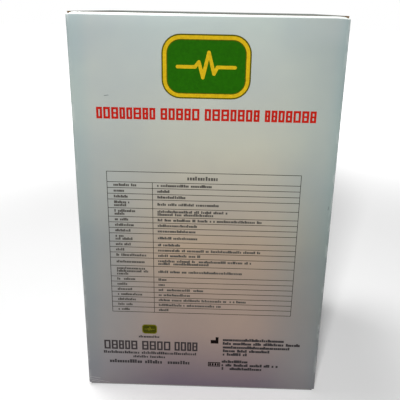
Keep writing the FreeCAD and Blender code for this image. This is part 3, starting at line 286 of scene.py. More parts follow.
class Finish(Graph):
    """A node material in the making, with its Principled shader and Object coordinates."""

    def __init__(self, name, **sockets):
        self.material = bpy.data.materials.new(name)
        self.material.use_nodes = True
        super().__init__(self.material.node_tree)
        self.shader = self.tree.nodes["Principled BSDF"]
        source = self.node("ShaderNodeTexCoord")
        self.place = source.outputs["Object"]
        self.normal = source.outputs["Normal"]
        for socket, value in sockets.items():
            self.feed(self.shader.inputs[socket.replace("_", " ")], value)

    def texture(self, kind, result, scale, inputs=None, **settings):
        """A pattern of scale repeats per metre over Object coordinates."""
        inputs = {"Vector": self.place, "Scale": scale, **(inputs or {})}
        return self.node("ShaderNodeTex" + kind, inputs, **settings).outputs[result]

    def noise(self, scale, detail=2.0, stretch=None):
        """Cloudy noise of scale waves per metre, drawn out along each axis, from 0 to 1."""
        vector = self.place
        if stretch:
            vector = self.node("ShaderNodeMapping", {"Vector": vector, "Scale": stretch}).outputs["Vector"]
        return self.texture("Noise", "Fac", scale, {"Vector": vector, "Detail": detail})

    def cloud(self, scale, dark, pale, detail=3.0, ends=(0.3, 0.7)):
        """Noise as a tone between two screen colours."""
        return self.ramp(self.noise(scale, detail), [(ends[0], dark), (ends[1], pale)])

    def roughness(self, share, first, second):
        """Gives the shader a roughness between two values, by share."""
        self.feed(self.shader.inputs["Roughness"], self.blend_numbers(share, first, second))

    def bump(self, height, distance, strength):
        """Gives the shader a relief of that height, in metres."""
        made = self.node("ShaderNodeBump", {"Height": height, "Distance": distance, "Strength": strength})
        self.feed(self.shader.inputs["Normal"], made.outputs["Normal"])

    def colour(self, value):
        """Gives the shader its base colour, and returns the finished material."""
        self.feed(self.shader.inputs["Base Color"], value)
        return self.material

    def coordinate(self, axis):
        """One Object coordinate, in metres."""
        return self.node("ShaderNodeSeparateXYZ", {"Vector": self.place}).outputs[axis]

    def facing(self, direction):
        """How far the surface faces a direction of the object, from -1 to 1."""
        return self.node("ShaderNodeVectorMath", {0: self.normal, 1: direction},
                         operation="DOT_PRODUCT").outputs["Value"]


def carton_height(finish):
    """How far up the carton, from 0 at its foot to 1 at its top."""
    return finish.math("DIVIDE", finish.coordinate("Z"), CARTON_TOP * MM)


def plain_silver(finish):
    """The unprinted silver of the other walls: a slow change of grey, darker at the foot and lighter at the
    top, which is painted shade.
    """
    tone = finish.ramp(carton_height(finish), [
        (0.0, (128, 127, 129)), (0.5, (146, 150, 148)), (1.0, (160, 168, 166))])
    return worn_edges(finish, finish.shaded(tone, finish.cloud(14, (236, 238, 240), (255, 255, 253))))


def worn_edges(finish, tone):
    """Foil rubbed paler in flecks along the upright corners."""
    across = finish.step(finish.either_way(finish.coordinate("X")), 65.4 * MM, 67.2 * MM)
    ahead = finish.step(finish.either_way(finish.coordinate("Y")), 52.6 * MM, 54.4 * MM)
    flecks = finish.step(finish.noise(340, 3.0, (1.0, 1.0, 0.35)), 0.5, 0.62)
    worn = finish.times(finish.times(across, ahead), flecks)
    return finish.mix(finish.times(worn, 0.2), tone, srgb(206, 208, 204))


def silver_with_painted_reflection(finish):
    """The silver board's tone, with a painted reflection of the room in it.

    It is lighter and cool at the top and the sides, warm in the middle, and darker and mauve at the foot.
    """
    height = carton_height(finish)
    middle = finish.ramp(height, [
        (0.0, (102, 90, 103)), (0.18, (140, 123, 115)), (0.42, (152, 135, 117)),
        (0.70, (162, 164, 153)), (0.90, (159, 167, 163)), (0.98, (158, 169, 166))])
    side = finish.ramp(height, [
        (0.0, (120, 115, 118)), (0.45, (132, 138, 137)), (0.75, (152, 159, 156)), (0.97, (153, 161, 159))])
    right_tint = finish.ramp(height, [
        (0.08, (246, 251, 252)), (0.24, (233, 234, 232)), (0.45, (242, 245, 239)),
        (0.62, (251, 255, 251)), (0.93, (242, 247, 246)), (0.965, (253, 255, 255))])
    across = finish.coordinate("X")
    tone = finish.mix(finish.step(across, -12 * MM, -66 * MM), middle, side)
    right = finish.step(across, 24 * MM, 66 * MM)
    tone = finish.mix(right, tone, finish.shaded(side, right_tint))
    off_middle = finish.either_way(finish.math("SUBTRACT", across, 2 * MM))
    margin = finish.step(off_middle, 57 * MM, 66 * MM)
    tone = finish.mix(margin, tone, finish.shaded(tone, srgb(240, 249, 252)))
    return worn_edges(finish, finish.shaded(tone, finish.cloud(22, (234, 235, 238), (252, 249, 244))))


def kraft(finish):
    """Brown liner: fibres drawn out along the machine direction, and darker specks."""
    fibres = finish.ramp(finish.noise(1100, 4.0, (1.0, 1.0, 0.3)), [
        (0.3, (146, 117, 84)), (0.7, (163, 132, 95))])
    liner = finish.shaded(fibres, finish.cloud(30, (236, 236, 234), (255, 255, 255)))
    return finish.mix(finish.step(finish.noise(1500), 0.68, 0.76), liner, srgb(118, 90, 62))


def cut_edge(finish):
    """A raw cut through the fluted board: paler flutes, with painted shade in the hollows between them."""
    wave = finish.texture("Wave", "Fac", 95.0, {"Distortion": 1.2, "Detail": 1.0},
                          bands_direction="DIAGONAL")
    return finish.ramp(wave, [(0.25, (92, 72, 50)), (0.65, (150, 122, 88))])


def board_finish(name, printed, folded=None, shine=0.3, gloss=0.5, change=None, tone_of=plain_silver):
    """Silver-printed board: print where it faces out, kraft behind, and flutes on the cut edges.

    change takes the finish, where the print shows and its tone, and returns the last two anew.
    """
    finish = Finish(name, Specular_IOR_Level=gloss)
    outward = finish.facing(printed)
    shown = finish.step(outward, *FACING_STEP)
    if folded:
        shown = finish.math("MAXIMUM", shown, finish.step(finish.facing(folded), *FACING_STEP))
    behind = finish.step(outward, -0.45, -0.6)
    rough_side = finish.mix(behind, cut_edge(finish), kraft(finish))
    tone = tone_of(finish)
    if change:
        shown, tone = change(finish, shown, tone)
    finish.feed(finish.shader.inputs["Metallic"], finish.times(shown, shine))
    finish.roughness(shown, 0.85, 0.42)
    finish.bump(finish.noise(1400, 3.0), 0.03 * MM, 0.5)
    return finish.colour(finish.mix(shown, rough_side, tone))


def glinting_crease(finish, shown, tone):
    """A painted highlight: the foil over the top crease painted almost white where it faces up, as its
    glint.
    """
    crease = finish.step(finish.facing((0, 0, 1)), 0.2, 0.55)
    fold = finish.step(finish.either_way(finish.facing((1, 0, 0))), *FACING_STEP)
    return finish.math("MAXIMUM", shown, fold), finish.mix(crease, tone, srgb(236, 241, 238))


def shaded_lid(finish, shown, tone):
    """Painted shade: the lid's upper face a deeper grey than the walls."""
    return shown, finish.shaded(tone, srgb(226, 224, 220))


def plain_board(name):
    """Unprinted brown board, its flutes just showing through the liner as a relief, with painted shade
    along them.
    """
    finish = Finish(name, Roughness=0.85)
    flutes = finish.texture("Wave", "Fac", 150.0, {"Distortion": 0.3}, bands_direction="Y")
    finish.bump(finish.math("ADD", flutes, finish.noise(900, 3.0)), 0.03 * MM, 0.6)
    shade = finish.ramp(flutes, [(0.0, (247, 246, 244)), (1.0, (255, 255, 255))])
    return finish.colour(finish.shaded(kraft(finish), shade))


def ink_finish(name, *colour):
    """A printed ink of screen values, a little uneven in its cover."""
    finish = Finish(name, Roughness=0.6, Specular_IOR_Level=0.04)
    cover = finish.cloud(900, (225, 225, 225), (255, 255, 255), 2.0, (0.25, 0.75))
    return finish.colour(finish.shaded(srgb(*colour), cover))


def plastic(name, colour, roughness, coat=0.0):
    """Moulded plastic: a spark-eroded grain, faint tone clouds and a roughness that follows them."""
    finish = Finish(name, Coat_Weight=coat, Coat_Roughness=0.2)
    cloud = finish.noise(35, 3.0)
    tone = finish.ramp(cloud, [(0.3, (244, 244, 244)), (0.7, (255, 255, 255))])
    finish.roughness(cloud, roughness - 0.05, roughness + 0.07)
    finish.bump(finish.noise(1800), 0.02 * MM, 0.6)
    return finish.colour(finish.shaded(srgb(*colour), tone))


def metal(name, colour, roughness, stretch=(1.0, 1.0, 12.0)):
    """Plated steel with fine drawn lines along one direction."""
    finish = Finish(name, Metallic=1.0)
    lines = finish.noise(900, 3.0, stretch)
    finish.roughness(lines, roughness - 0.08, roughness + 0.12)
    finish.bump(lines, 0.01 * MM, 0.5)
    tone = finish.ramp(lines, [(0.3, (215, 215, 218)), (0.7, (255, 255, 255))])
    return finish.colour(finish.shaded(srgb(*colour), tone))


def rubbery(name, colour, scale=500, depth=0.08):
    """Rubber or foam: matt, pitted, with a dusty bloom."""
    finish = Finish(name, Roughness=0.8, Specular_IOR_Level=0.3)
    finish.bump(finish.texture("Voronoi", "Distance", scale), depth * MM, 0.7)
    bloom = finish.cloud(60, (225, 225, 225), (255, 255, 255), 3.0, (0.35, 0.75))
    return finish.colour(finish.shaded(srgb(*colour), bloom))


def clear_window(name):
    """Clear acrylic with a hair of surface haze."""
    finish = Finish(name, Transmission_Weight=1.0, IOR=1.49)
    finish.roughness(finish.noise(120, 3.0), 0.02, 0.06)
    return finish.colour(srgb(250, 252, 252))


def display_finish(name):
    """Liquid-crystal glass: grey-green, with a faint backlight falloff and polariser grain."""
    finish = Finish(name, Roughness=0.25, Coat_Weight=0.4, Coat_Roughness=0.08)
    finish.bump(finish.noise(2600, 1.0), 0.004 * MM, 0.4)
    return finish.colour(finish.cloud(16, (158, 168, 152), (176, 186, 168), 2.0))


def circuit_finish(name):
    """Green solder mask over copper tracks, with tinned pads."""
    finish = Finish(name, Roughness=0.35, Coat_Weight=0.3, Coat_Roughness=0.15)
    tracks = finish.texture("Brick", "Color", 220.0, {
        "Mortar Size": 0.06, "Color1": srgb(20, 84, 46), "Color2": srgb(26, 98, 54),
        "Mortar": srgb(52, 132, 74)})
    tinned = finish.step(finish.texture("Voronoi", "Distance", 240.0), 0.16, 0.1)
    finish.bump(finish.noise(600), 0.02 * MM, 0.4)
    return finish.colour(finish.mix(tinned, tracks, srgb(186, 188, 184)))


def cell_finish(name):
    """A dry cell's jacket: dark blue with a copper shoulder, and bare steel at its ends."""
    finish = Finish(name, Roughness=0.32, Metallic=0.5, Coat_Weight=0.5, Coat_Roughness=0.1)
    band = finish.texture("Wave", "Fac", 5.6, {"Phase Offset": 1.1}, bands_direction="Y")
    jacket = finish.ramp(band, [(0.55, (26, 44, 92)), (0.62, (176, 112, 66))])
    ends = finish.step(finish.either_way(finish.facing((0, 1, 0))), 0.6, 0.8)
    return finish.colour(finish.mix(ends, jacket, srgb(196, 196, 192)))


def weave_finish(name, colour, pale):
    """Plain-woven nylon: two crossing thread waves, bound hems at both edges, and their stitches."""
    finish = Finish(name, Roughness=0.78, Sheen_Weight=0.25, Sheen_Roughness=0.5)
    low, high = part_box("cuff_wrap")
    half = (high[2] - low[2]) / 2
    level = finish.either_way(finish.math("SUBTRACT", finish.coordinate("Z"), low[2] + half))
    weave = finish.times(*[
        finish.texture("Wave", "Fac", 260.0, {"Distortion": 0.4, "Detail": 1.0}, bands_direction=direction)
        for direction in ("X", "Z")])
    hem = finish.step(level, half - 7.2 * MM, half - 6.8 * MM)
    off_row = finish.either_way(finish.math("SUBTRACT", level, half - 5.8 * MM))
    row = finish.math("SUBTRACT", 1.0, finish.step(off_row, 0.2 * MM, 0.4 * MM))
    along = finish.math("PINGPONG", finish.coordinate("X"), 1.3 * MM)
    stitches = finish.times(row, finish.step(along, 0.4 * MM, 0.5 * MM))
    relief = finish.math("ADD", weave, finish.times(finish.noise(1500), 0.4))
    finish.bump(finish.math("ADD", relief, finish.times(stitches, 2.0)), 0.18 * MM, 0.8)
    cloth = finish.ramp(weave, [(0.1, colour), (0.9, pale)])
    bound = finish.mix(finish.times(hem, 0.6), cloth, srgb(24, 30, 48))
    return finish.colour(finish.mix(finish.times(stitches, 0.8), bound, srgb(168, 180, 206)))


def hook_finish(name):
    """Hook tape: rows of stiff little hooks on a woven ground."""
    finish = Finish(name, Roughness=0.6)
    hooks = finish.texture("Voronoi", "Distance", 620.0, {"Randomness": 0.35})
    finish.bump(finish.math("SUBTRACT", 1.0, hooks), 0.4 * MM, 0.9)
    return finish.colour(finish.ramp(hooks, [(0.1, (62, 74, 106)), (0.5, (24, 30, 48))]))


def paper_finish(name, low, high, band):
    """A stapled paper: painted shade on its edges, darkest between the leaves, a tinted band at the head,
    and lines of small print.
    """
    finish = Finish(name, Roughness=0.72)
    leaves = finish.texture("Wave", "Fac", 1300.0, bands_direction="Y")
    edge = finish.step(finish.either_way(finish.facing((0, 1, 0))), 0.7, 0.4)
    shade = finish.math("MAXIMUM", finish.times(finish.times(leaves, edge), 0.35), finish.times(edge, 0.3))
    base = finish.cloud(180, (222, 221, 214), (232, 231, 225), 4.0)
    across, height = finish.coordinate("X"), finish.coordinate("Z")
    lines = finish.step(finish.math("PINGPONG", height, 1.5 * MM), 1.0 * MM, 1.1 * MM)
    words = finish.step(finish.noise(420, 2.0, (1.0, 0.01, 0.8)), 0.42, 0.46)
    inside = finish.times(between(finish, across, low[0] + 8 * MM, high[0] - 8 * MM),
                          between(finish, height, low[2] + 10 * MM, high[2] - 36 * MM))
    print_there = finish.times(finish.times(lines, words), inside)
    head = finish.times(between(finish, height, high[2] - 26 * MM, high[2] - 12 * MM), 0.85)
    page = finish.mix(finish.times(print_there, 0.7), base, srgb(92, 96, 104))
    page = finish.mix(head, page, srgb(*band))
    finish.bump(finish.noise(1200, 3.0), 0.02 * MM, 0.4)
    return finish.colour(finish.mix(shade, page, srgb(150, 146, 136)))


def between(finish, value, low, high):
    """1 where value lies between low and high, with a hair of softness."""
    soft = 0.2 * MM
    return finish.times(finish.step(value, low, low + soft), finish.step(value, high, high - soft))


def dress(finish, *names):
    """Puts one finish on CAD nodes."""
    for name in names:
        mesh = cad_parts[name].data
        mesh.materials.clear()
        mesh.materials.append(finish)


# ---- The printed panel ----

def creased_wall(foot, crease):
    """A wall's section: how far out, how far over the crease, and at what height each point is.

    It runs up the outside, over the crease's half round (cos t, sin t), and down the inside.
    """
    up = np.linspace(foot, crease, 30)[:-1]
    down = np.linspace(crease, foot, 8)
    sweep = np.linspace(0, math.pi, 15)
    out = np.concatenate([np.ones(len(up)), np.cos(sweep), [-0.5], np.zeros(len(down)), [0.5]])
    rise = np.concatenate([np.zeros(len(up)), np.sin(sweep), np.zeros(len(down) + 2)])
    level = np.concatenate([up, np.full(len(sweep) + 1, crease), down, [foot]])
    return out, rise, level


def wall_piece(name, points, finish):
    """A creased wall as a piece, smooth but for its edges."""
    made = piece(name, *carried(points), finish, "carton", "printed_board")
    recalculated(made)
    made.data.polygons.foreach_set("use_smooth", np.ones(len(made.data.polygons), bool))
    made.data.set_sharp_from_angle(angle=math.radians(40))
    return made


def spec_panel(finish):
    """The spec panel: its section in Y and Z carried along X.

    At the ends the skin sinks as sqrt(1 - u^2), which rounds the vertical folds.
    """
    out, rise, level = creased_wall(BOARD, LID_CREASE)
    ends = 1 - np.cos(np.linspace(0, math.pi / 2, 8))
    x = np.concatenate([PANEL_LEFT + LEFT_FOLD * ends, np.linspace(PANEL_LEFT + 3, PANEL_RIGHT - 3, 40),
                        PANEL_RIGHT - RIGHT_FOLD * ends[::-1]])
    near = np.clip(np.minimum((x - PANEL_LEFT) / LEFT_FOLD, (PANEL_RIGHT - x) / RIGHT_FOLD), 0, 1)
    skin = np.sqrt(1 - (1 - near) ** 2)
    cap_near = np.clip(np.minimum(x - CAP_LEFT, CAP_RIGHT - x) + CAP_ROUND / 2, 0.02, CAP_ROUND) / CAP_ROUND
    cap = np.sqrt(1 - (1 - cap_near) ** 2)
    reach = np.where(out > 0, PANEL_SKIN * skin[:, None], BOARD * cap[:, None])
    points = grid_points(x[:, None], PANEL_INSIDE - out * reach, level + CAP_RISE * rise * cap[:, None])
    made = wall_piece("spec_panel", points, finish)
    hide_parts("back_panel")


def right_wall(finish):
    """The right side panel: its section in X and Z carried along Y, from the spec panel's fold."""
    out, rise, level = creased_wall(SIDE_FOOT, SIDE_CREASE)
    y = np.linspace(-PANEL_INSIDE, PANEL_INSIDE, 24)[:, None]
    points = grid_points(SIDE_INSIDE + BOARD * out, y, level + BOARD * rise)
    made = wall_piece("right_wall", points, finish)
    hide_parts("right_side_panel")


# ---- Print ----
TABLE_LEFT = -51.1
TABLE_RIGHT = 50.0
TABLE_TOP = 134.4
TABLE_HEADER = 5.7
DIVIDER = -27.3
LABEL_START = -47.8
VALUE_START = -24.8
RULE = 0.3
LINE_HEIGHT = 1.69
ROW_PADDING = 1.53
SMALL_PRINT = 1.5
LABELS = ((13,), (7,), (8,), (9, 7), (12, 6), (8,), (11,), (9,), (7, 11), (9,), (5,), (17,), (16,),
          (16, 18, 7), (11,), (6,), (9,), (14,), (11,), (9,), (7,))
VALUES = ((29,), (7,), (15,), (33,), (38, 30), (56,), (22,), (21,), (22,), (13,), (56,), (24,),
          (52, 28), (47,), (5,), (4,), (26,), (18,), (50,), (36,), (6,))
# Words of blocks, as left end, right end and how many blocks.
HEADING_WORDS = ((-55.2, -24.9, 8), (-22.9, -2.8, 5), (-0.8, 27.2, 7), (29.2, 55.4, 7))
BOLD_WORDS = ((-57.3, -37.3, 5), (-35.2, -18.0, 4), (-16.2, -2.2, 4))
# Lines at the foot, as left end, base and length, and for the fine ones the height of their print.
FINE_LINES = ((-36.6, 33.9, 12.8, 1.5), (-57.5, 22.7, 55.0, 1.8), (-40.2, 20.1, 19.5, 1.6),
              (-54.2, 16.2, 48.0, 2.4))
HEAVY_LINES = ((12.1, 33.1, 36.9), (12.1, 30.6, 45.3), (12.2, 28.1, 39.5), (12.3, 25.6, 28.6),
               (12.3, 23.2, 15.4), (11.8, 18.2, 15.5), (11.8, 15.7, 33.6), (11.9, 13.2, 23.7))
# A stepped block, and a frame with four blocks in it.
FOOT_MARKS = ((5.1, 31.3, 9.6, 33.6), (7.9, 33.6, 9.6, 35.6), (3.8, 15.4, 11.0, 15.9),
              (3.8, 17.9, 11.0, 18.4), (3.8, 15.9, 4.3, 17.9), (10.5, 15.9, 11.0, 17.9),
              (4.6, 16.1, 5.6, 17.7), (6.1, 16.1, 7.1, 17.7), (7.7, 16.1, 8.7, 17.7),
              (9.2, 16.1, 10.2, 17.7))
# The badge's outlines from its field to its rim's outside, as half width, half height and radius.
BADGE_SIZES = ((18.95, 12.55, 6.35), (19.35, 12.95, 6.75), (21.1, 14.7, 8.5), (21.8, 15.4, 9.2))
PULSE = ((-14, 0), (-5.5, 0), (-3.6, 2.4), (-1.6, -5.0), (1.2, 7.0), (3.8, -3.2), (5.4, 0), (14, 0))
# Dents at the lower left corner, whose pale lines are a painted highlight; then a nick and a scuff.
DENT_GLINT_LINES = (((-66.0, 4.0), (-55.0, 1.9)), ((-66.2, 5.6), (-60.5, 4.6)), ((-65.4, 2.6), (-61.0, 2.0)))
SCUFFS = (((65.5, 117.8), (65.3, 115.9)), ((-50.5, 173.6), (-48.5, 173.8)))


def printed(name, mesh, ink):
    """A printed mark on the spec panel."""
    piece(name, *mesh, ink, "carton", "printed_board", PRINT)


def print_line(left, base, length, height, chance, weight):
    """A line of small print as upright dashes: at left + n * pitch, of two heights, with word gaps."""
    pitch = 0.62 * height
    count = max(int(length / pitch), 2)
    start = left + pitch * np.arange(count)
    tall = height * np.where(chance.random(count) < 0.3, 1.0, 0.72)
    low = np.full(count, base)
    wide = pitch * chance.uniform(weight - 0.14, weight + 0.14, count)
    kept = chance.random(count) > 0.09
    kept[0] = True
    return np.stack([start, low, start + wide, low + tall], 1)[kept]


def row_lines(lengths, left, top, height, chance, weight):
    """A table cell's lines of print, centred between its rules."""
    block = len(lengths) * LINE_HEIGHT
    first = top - (height - block) / 2 - LINE_HEIGHT + 0.2
    return [print_line(left, first - index * LINE_HEIGHT, length, SMALL_PRINT, chance, weight)
            for index, length in enumerate(lengths)]


def spec_table(rule_ink, ink):
    """The ruled table: its rules and its lines of small print."""
    chance = np.random.default_rng(4)
    heights = [ROW_PADDING + LINE_HEIGHT * max(len(label), len(value))
               for label, value in zip(LABELS, VALUES)]
    tops = TABLE_TOP - TABLE_HEADER - np.concatenate([[0], np.cumsum(heights)])
    levels = np.concatenate([[TABLE_TOP], tops])
    half = RULE / 2
    areas = [(TABLE_LEFT, level - half, TABLE_RIGHT, level + half) for level in levels]
    areas += [(across - half, tops[-1], across + half, head)
              for across, head in ((TABLE_LEFT, TABLE_TOP), (TABLE_RIGHT, TABLE_TOP), (DIVIDER, tops[0]))]
    printed("table_rules", rectangles(areas, INK), rule_ink)
    lines = [print_line(-9.0, TABLE_TOP - 4.0, length=17.0, height=2.2, chance=chance, weight=0.68)]
    for label, value, top, height in zip(LABELS, VALUES, tops, heights):
        lines += row_lines(label, LABEL_START, top, height, chance, 0.84)
        lines += row_lines(value, VALUE_START, top, height, chance, 0.86)
    printed("table_print", rectangles(lines, INK), ink)


def block_word(left, right, count, low, high, stroke, chance):
    """A word as plain blocks: two uprights, a head bar and a foot bar each, and on some a middle bar."""
    share = chance.uniform(0.85, 1.15, count)
    edges = left + (right - left) * np.concatenate([[0], np.cumsum(share) / share.sum()])
    gap = 0.16 * (right - left) / count
    start, end = edges[:-1] + gap / 2, edges[1:] - gap / 2
    foot, head = np.full(count, low), np.full(count, high)
    middle = (foot + head - stroke * 0.8) / 2
    bars = np.stack([start + stroke, middle, end - stroke, middle + stroke * 0.8], 1)
    return np.vstack([
        np.stack([start, foot, start + stroke, head], 1),
        np.stack([end - stroke, foot, end, head], 1),
        np.stack([start + stroke, head - stroke, end - stroke, head], 1),
        np.stack([start + stroke, foot, end - stroke, foot + stroke], 1),
        bars[chance.random(count) < 0.5],
    ])


def heading(ink):
    """The red heading, as four words of plain blocks."""
    chance = np.random.default_rng(11)
    words = [block_word(*word, low=162.0, high=167.9, stroke=1.15, chance=chance) for word in HEADING_WORDS]
    printed("heading_blocks", rectangles(words, INK), ink)


def foot_lines(bold, ink, deep):
    """The two blocks of small print at the foot, with a bold line of plain blocks and two marks."""
    chance = np.random.default_rng(23)
    words = [block_word(*word, low=25.6, high=31.6, stroke=1.0, chance=chance) for word in BOLD_WORDS]
    printed("bold_blocks", rectangles(words, INK), bold)
    dashes = [print_line(*line, chance, 0.76) for line in FINE_LINES]
    dashes += [print_line(*line, 1.9, chance, 0.95) for line in HEAVY_LINES]
    printed("foot_print", rectangles(dashes, INK), ink)
    printed("foot_marks", rectangles(FOOT_MARKS, INK), deep)


def stroke_mesh(points, width, height, sink):
    """A pen line as bars with round joints and ends, each a hair higher than the last."""
    points = np.array(points)
    meshes = [plate_mesh(arc_outline(width / 2, points[0], count=16), height - 0.001, sink)]
    for index, (start, end) in enumerate(zip(points[:-1], points[1:])):
        ahead = (end - start) / np.linalg.norm(end - start)
        side = np.array([-ahead[1], ahead[0]]) * width / 2
        level = height + 0.002 * index
        bar = np.array([start - side, end - side, end + side, start + side])
        joint = arc_outline(width / 2, end, count=16)
        meshes += [plate_mesh(bar, level, sink), plate_mesh(joint, level + 0.001, sink)]
    return joined(meshes)


def badge(name, centre, scale, green, yellow, edge):
    """A plain rounded badge: a green field, a yellow rim between two dark lines, and a pulse trace."""
    field, inner, rim, outer = [rounded_outline(*(np.array(size) * scale), centre) for size in BADGE_SIZES]
    printed(name + "_field", plate_mesh(field, INK, SINK), green)
    printed(name + "_rim", ring_mesh(inner, rim, INK), yellow)
    printed(name + "_outline", joined([ring_mesh(field, inner, INK), ring_mesh(rim, outer, INK)]), edge)
    trace = np.array(PULSE) * scale + centre
    printed(name + "_trace", stroke_mesh(trace, 1.7 * scale, INK * 1.2, -INK * 0.5), yellow)


def corner_marks():
    """Pale lines along dents at the panel's lower left corner, their paleness a painted highlight, a nick
    on its right edge and a scuff.
    """
    dent_glints = [stroke_mesh(line, 0.28, INK, 0.0) for line in DENT_GLINT_LINES]
    printed("corner_creases", joined(dent_glints), ink_finish("dent_glint_ink", 158, 154, 154))
    rubbed = [stroke_mesh(line, 0.3, INK, 0.0) for line in SCUFFS]
    printed("scuff_marks", joined(rubbed), ink_finish("scuff", 104, 112, 112))


def print_panel():
    """Everything printed on the spec panel."""
    spec_table(ink_finish("rule_ink", 46, 42, 38), ink_finish("fine_ink", 78, 75, 71))
    heading(ink_finish("red_ink", 178, 30, 18))
    foot_lines(ink_finish("black_ink", 54, 49, 50), ink_finish("foot_ink", 54, 51, 52),
               ink_finish("deep_ink", 10, 4, 3))
    olive = ink_finish("olive_ink", 84, 80, 6)
    badge("badge", (-0.1, 188.3), 1.0, ink_finish("green_ink", 29, 91, 0),
          ink_finish("yellow_ink", 202, 167, 22), olive)
    corner_marks()
    badge("small_badge", (-30.3, 39.7), 0.2, ink_finish("dull_green_ink", 57, 58, 3),
          ink_finish("dull_yellow_ink", 108, 103, 20), olive)


# ---- The monitor's marks and springs ----
SEGMENTS = {"0": "abcdef", "1": "bc", "2": "abged", "7": "abc", "8": "abcdefg"}


def on_face(up, lift):
    """A frame on the monitor's sloping face: so far up the slope, and so far off it."""
    origin, rows = FACE
    return origin + up * rows[1] + lift * rows[2], rows


def digit_areas(text, left, low, size):
    """A row of plain seven-bar numbers, as areas: bars of size / 8 on a size by size / 2 cell."""
    wide, half, bar = size / 2, size / 2, size / 8
    inset, tip, end = bar * 0.6, bar * 0.3, bar * 0.5
    bars = {
        "a": (inset, size - bar, wide - inset, size),
        "b": (wide - bar, half + tip, wide, size - end),
        "c": (wide - bar, end, wide, half - tip),
        "d": (inset, 0, wide - inset, bar),
        "e": (0, end, bar, half - tip),
        "f": (0, half + tip, bar, size - end),
        "g": (inset, half - bar / 2, wide - inset, half + bar / 2),
    }
    areas = []
    for index, digit in enumerate(text):
        shift = np.array([left + index * size * 0.68, low] * 2)
        areas += [np.array(bars[letter]) + shift for letter in SEGMENTS[digit]]
    return areas


def display_print(ink):
    """The display's printed film: three plain numbers and the rules between them."""
    areas = digit_areas("128", -6.0, 3.0, 17.0)
    areas += digit_areas("82", 5.6, -19.0, 17.0)
    areas += digit_areas("70", -29.0, -16.0, 11.0)
    areas += [(-34.0, 0.2, 34.0, 0.6), (-8.0, -20.0, -7.6, 0.0)]
    areas += [(-33.0, step, -24.0, step + 1.2) for step in (5.0, 8.0, 11.0)]
    piece("display_numbers", *rectangles(areas, 0.04), ink, "carton", "display_glass",
          on_face(LENS_MIDDLE, DISPLAY_TOP + 0.02))


def window_border(ink):
    """The dark border printed behind the window, over the ledge that it is glued to."""
    outer = rounded_outline(41.7, 26.7, 4.7, (0, 0))
    inner = rounded_outline(36.5, 21.5, 2.0, (0, 0))
    piece("window_border", *ring_mesh(inner, outer, 0.05), ink, "carton", "clear_lens",
          on_face(LENS_MIDDLE, -1.15))


def button_icons(ink):
    """Plain marks on the buttons: a power sign, a stack of lines and a clock."""
    place = on_face(BUTTON_ROW, BUTTON_TOP)
    gap = math.radians(35)
    arcs = [arc_outline(radius, (0, 0), math.pi / 2 + gap, 2.5 * math.pi - gap) for radius in (2.6, 3.3)]
    power = joined([ring_mesh(*arcs, INK, closed=False), rectangles([(-0.35, 1.0, 0.35, 4.1)], INK)])
    piece("start_icon", *power, ink, "start_key", "button_plastic", place)
    stack = [(34.0, step - 0.3, 38.0, step + 0.3) for step in (-1.5, 0, 1.5)]
    piece("memory_icon", *rectangles(stack, INK), ink, "memory_key", "small_button_plastic", place)
    dial = (-36.0, 0)
    hands = [(-36.2, -0.2, -35.8, 1.5), (-37.3, -0.2, -36.2, 0.2)]
    clock = joined([ring_mesh(arc_outline(1.9, dial), arc_outline(2.5, dial), INK), rectangles(hands, INK)])
    piece("set_icon", *clock, ink, "set_key", "small_button_plastic", place)


def coil_mesh(base, ahead, radius, length, turns, wire):
    """A spring: base + ahead * length * t + r(t) (cos a, 0, sin a), with a wire of round section."""
    t = np.linspace(0, 1, 22 * turns)[:, None]
    angle = 2 * math.pi * turns * t
    out = np.concatenate([np.cos(angle), 0 * angle, np.sin(angle)], 1)
    along = np.array([0.0, ahead, 0.0])
    line = np.array(base) + along * (wire + (length - 2 * wire) * t) + (radius - 0.6 * t) * out
    section = np.linspace(0, 2 * math.pi, 9)[:-1, None]
    return carried(line[:, None] + wire * (np.cos(section) * out[:, None] + np.sin(section) * along))


def cell_springs(finish):
    """The wound springs at the cells' flat ends, one row turned every other way."""
    low, high = (np.array(corner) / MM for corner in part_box("battery_springs"))
    middle = (low[2] + high[2]) / 2
    coils = []
    for index, x in enumerate(np.linspace(low[0] + 3.4, high[0] - 3.4, 4)):
        rear = index % 2 == 1
        base = (x, low[1] if rear else high[1], middle)
        coils.append(coil_mesh(base, 1.0 if rear else -1.0, 2.95, 3.2, 4, 0.38))
    made = piece("cell_springs", *joined(coils), finish, "carton", "spring_steel", smooth=True)
    recalculated(made)
    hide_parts("battery_springs")


# ---- The cuff ----
# The roll's middle from its low corner, and its racetrack's straight and radii.
ROLL_MIDDLE = (52.0, 17.0)
STRAIGHT_HALF = 35.0
ROLL_RADIUS = 15.8
CORE_RADIUS = 3.65
# Which point of the outline the wrap's outer end is at.
OUTER_END = 42
# The layers, and how far one turn grows the outside.
LAYERS = 4
LAYER_STEP = 0.42
# Where a bound hem begins, in shares of the height off its middle, and how far it stands out.
HEM_START = 0.448
HEM_RISE = 0.25
# How far the outside swells, the ends dip between layers, and the dents go.
SWELL = 0.4
DIP = 1.3
DENT = 0.16
# The ring's sleeve: its bar's place, its radii, and how far and how often stitches pinch it.
SLEEVE_X = 47.5
SLEEVE_RADIUS = 3.9
SLEEVE_BORE = 2.3
PINCH = 0.35
PINCHES = 12


